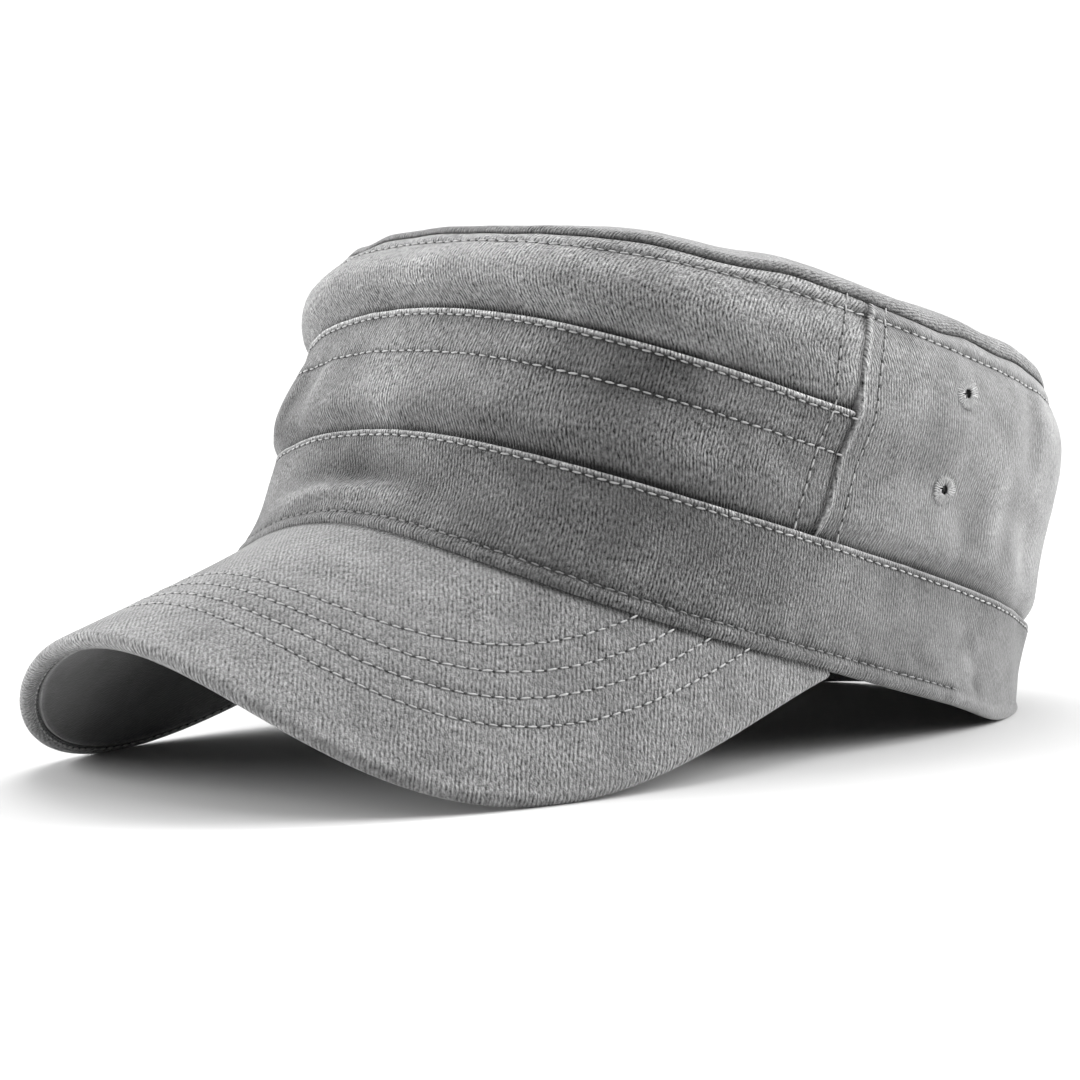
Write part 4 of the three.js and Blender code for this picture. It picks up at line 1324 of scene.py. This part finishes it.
def peak_path(row):
    """A row on top of the peak, from where it leaves the band to where it meets it again."""
    turn = np.linspace(row[2] - PAST_MEETING, 180 + PAST_MEETING - row[2], 300)
    reach = peak_row_reach(turn, row)
    turn, reach = turn[reach > LEAST_REACH], reach[reach > LEAST_REACH]
    down = peak_down(turn, reach)
    return peak_surface(turn, reach) - down * peak_relief(turn, reach)[:, None], -down


def rim_path():
    """The row under the peak, on its wrapped rim."""
    turn = lining_turn[4:-4, 0]
    reach = peak_width(turn) - PEAK_RIM + RIM_ROW
    down = peak_down(turn, reach)
    return peak_surface(turn, reach) + down * (peak_depth(turn) - RIM_ROW_SINK)[:, None], down


sew_row("peak_rows", [peak_path(row) for row in PEAK_ROWS], 7)
sew_row("peak_rim_row", [rim_path()], 8)


# Air holes
# Each hole is bound by thread sewn over and over its edge, radiating from the hole, over a padded ring. The
# ring runs through the whole wall, so the binding shows on the inside as well.
EYELET_RADIUS = 4.3
EYELET_HOLE = 1.25
EYELET_THREAD_PITCH = 0.52
EYELET_THREAD_SIZE = (2.3, 0.42, 0.6)
EYELET_THREAD_WOBBLE = 0.3
EYELET_SEED = 20
EYELET_GREY = (0.4, 0.4, 0.4)

# Two circles of thread lie on the ring, one outside the other: radius, and how far from the wall's middle
EYELET_CIRCLES = ((3.1, 0.62), (2.15, 0.7))
CIRCLE_POINTS = 90
RING_SIDES = 40
RING_PARTS = 14
RING_HEIGHT = 0.65
RING_UNDER_THREAD = 0.2
RING_PAINTED_SHADOW_PARTS = 2.6


def ring_mesh(name, middle, out):
    """The low padded ring under the thread, through the whole wall."""
    around = np.radians(np.linspace(0, 360, RING_SIDES, endpoint=False))[:, None]
    angle = np.radians(np.linspace(0, 360, RING_PARTS, endpoint=False))[None, :]
    centre = (EYELET_RADIUS + EYELET_HOLE) / 2 - RING_UNDER_THREAD
    half = (EYELET_RADIUS - EYELET_HOLE) / 2 - RING_UNDER_THREAD
    radius = centre + half * np.cos(angle)
    rise = RING_HEIGHT * np.sin(angle) + 0 * around
    points = np.stack([radius * np.cos(around), radius * np.sin(around), rise], axis=-1).reshape(-1, 3)
    index = np.arange(RING_SIDES * RING_PARTS).reshape(RING_SIDES, RING_PARTS)
    east, north = np.roll(index, -1, axis=0), np.roll(index, -1, axis=1)
    faces = np.stack([index, east, np.roll(east, -1, axis=1), north], axis=-1).reshape(-1, 4)
    mesh = bpy.data.meshes.new(name)
    mesh.from_pydata((points * MM).tolist(), [], faces.tolist())
    mesh.transform(placed_at(middle, out))
    mesh.polygons.foreach_set("use_smooth", [True] * len(mesh.polygons))
    # The faces inside the hole take the needle holes' grey as painted shadow
    part = np.arange(len(mesh.polygons)) % RING_PARTS
    in_hole = np.abs(part - RING_PARTS / 2 + 0.5) < RING_PAINTED_SHADOW_PARTS
    mesh.polygons.foreach_set("material_index", in_hole.astype(int))
    return mesh


eyelet_thread = plain_material("eyelet_thread", EYELET_GREY, 0.8)

for number, (name, middle, out) in enumerate(eyelet_places()):
    side_way = np.cross([0, 0, 1], out)
    side_way /= np.linalg.norm(side_way)
    up_way = np.cross(out, side_way)
    angle = np.radians(np.linspace(0, 360, CIRCLE_POINTS))[:, None]
    circle = np.cos(angle) * side_way + np.sin(angle) * up_way
    paths = []
    for radius, lift in EYELET_CIRCLES:
        for face in (1, -1):
            points = middle + circle * radius + out * lift * face
            paths.append((points, np.broadcast_to(out * face, points.shape)))
    threads = sew(
        name + "_threads",
        paths,
        eyelet_thread,
        EYELET_THREAD_SIZE,
        EYELET_SEED + number,
        pitch=EYELET_THREAD_PITCH,
        turn=math.pi / 2,
        wobble=EYELET_THREAD_WOBBLE,
    )
    ring = bpy.data.objects.new(name + "_ring", ring_mesh(name + "_ring", middle, out))
    ring.data.materials.append(eyelet_thread)
    ring.data.materials.append(needle_hole)
    bpy.context.scene.collection.objects.link(ring)
    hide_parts(name)
    for piece in (threads, ring):
        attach(piece, "root")


# Studio
# A pale floor that sweeps up all round, a large soft light on each side, one overhead, and one that lights
# the sweep behind the cap. The camera stands at the photograph's angle, a little above the floor.
FLOOR_RADIUS = 1.6
SWEEP_RADIUS = 1.0
WALL_HEIGHT = 2.2
FLOOR_GREY = (0.5, 0.5, 0.5, 1)

sweep = np.radians(np.arange(0, 91, 10))
stage_profile = [(0.0, 0.0), (0.5, 0.0), (1.0, 0.0)]
stage_profile += [
    (FLOOR_RADIUS + SWEEP_RADIUS * math.sin(a), SWEEP_RADIUS * (1 - math.cos(a))) for a in sweep
]
stage_profile.append((FLOOR_RADIUS + SWEEP_RADIUS, WALL_HEIGHT))
stage_mesh = bpy.data.meshes.new("floor")
stage_shape = bmesh.new()
stage_verts = [stage_shape.verts.new((r, 0, z)) for r, z in stage_profile]
stage_edges = [stage_shape.edges.new(pair) for pair in zip(stage_verts, stage_verts[1:])]
bmesh.ops.spin(
    stage_shape, geom=stage_verts + stage_edges, cent=(0, 0, 0), axis=(0, 0, 1), angle=2 * math.pi, steps=96
)
bmesh.ops.remove_doubles(stage_shape, verts=stage_shape.verts, dist=1e-5)
bmesh.ops.recalc_face_normals(stage_shape, faces=stage_shape.faces)
stage_shape.to_mesh(stage_mesh)
stage_shape.free()
stage_mesh.polygons.foreach_set("use_smooth", [True] * len(stage_mesh.polygons))
floor = bpy.data.objects.new("floor", stage_mesh)
bpy.context.scene.collection.objects.link(floor)
floor_material = bpy.data.materials.new("pale_floor")
floor_material.use_nodes = True
floor_surface = floor_material.node_tree.nodes["Principled BSDF"].inputs
floor_surface["Base Color"].default_value = FLOOR_GREY
floor_surface["Roughness"].default_value = 0.9
floor.data.materials.append(floor_material)

# The camera as it was fitted to the photograph. Its azimuth is counted from the front of the cap.
AZIMUTH = 47.207
ELEVATION = 3.427
ROLL = -2.131
DISTANCE = 0.741892
TARGET = Vector((-0.01599, 0.00724, 0.04777))
FOCAL_PIXELS = 2936.15
PHOTO_PIXELS = 1080
SENSOR_WIDTH = 36

azimuth, elevation, roll = (math.radians(a) for a in (AZIMUTH, ELEVATION, ROLL))
towards_camera = Vector((math.sin(azimuth), -math.cos(azimuth), 0))
back_way = towards_camera * math.cos(elevation) + Vector((0, 0, math.sin(elevation)))
level_right = Vector((math.cos(azimuth), math.sin(azimuth), 0))
level_up = back_way.cross(level_right)
right_way = level_right * math.cos(roll) + level_up * math.sin(roll)
camera_axes = Matrix((right_way, back_way.cross(right_way), back_way)).transposed().to_4x4()
camera = bpy.data.objects.new("camera", bpy.data.cameras.new("camera"))
camera.matrix_world = Matrix.Translation(TARGET + back_way * DISTANCE) @ camera_axes
camera.data.sensor_width = SENSOR_WIDTH
camera.data.lens = SENSOR_WIDTH * FOCAL_PIXELS / PHOTO_PIXELS
camera.data.clip_start = 0.01
bpy.context.scene.collection.objects.link(camera)
bpy.context.scene.camera = camera


def add_light(name, place, aim, size, power):
    """A square soft light. Its place and aim are to the camera's right, away from the camera, and up."""
    spot, goal = (level_right * x - towards_camera * y + Vector((0, 0, z)) for x, y, z in (place, aim))
    light = bpy.data.lights.new(name, "AREA")
    light.shape = "SQUARE"
    light.size = size
    light.energy = power
    aimed = (spot - goal).to_track_quat("Z", "Y").to_matrix().to_4x4()
    holder = bpy.data.objects.new(name, light)
    holder.matrix_world = Matrix.Translation(spot) @ aimed
    bpy.context.scene.collection.objects.link(holder)


CAP_MIDDLE = (0, 0, 0.06)
add_light("right_light", (1.3, 0.2, 0.6), CAP_MIDDLE, 1.1, 38)
add_light("left_light", (-1.3, 0.2, 0.6), CAP_MIDDLE, 1.1, 32)
add_light("top_light", (0, 0, 1.9), CAP_MIDDLE, 1.8, 32)
add_light("backdrop_light", (0, 0.9, 1.9), (0, 2.6, 0.4), 1.2, 60)

world = bpy.data.worlds.new("studio")
world.use_nodes = True
world.node_tree.nodes["Background"].inputs["Color"].default_value = (1, 1, 1, 1)
world.node_tree.nodes["Background"].inputs["Strength"].default_value = 0.3
bpy.context.scene.world = world
bpy.context.scene.view_settings.view_transform = "Standard"
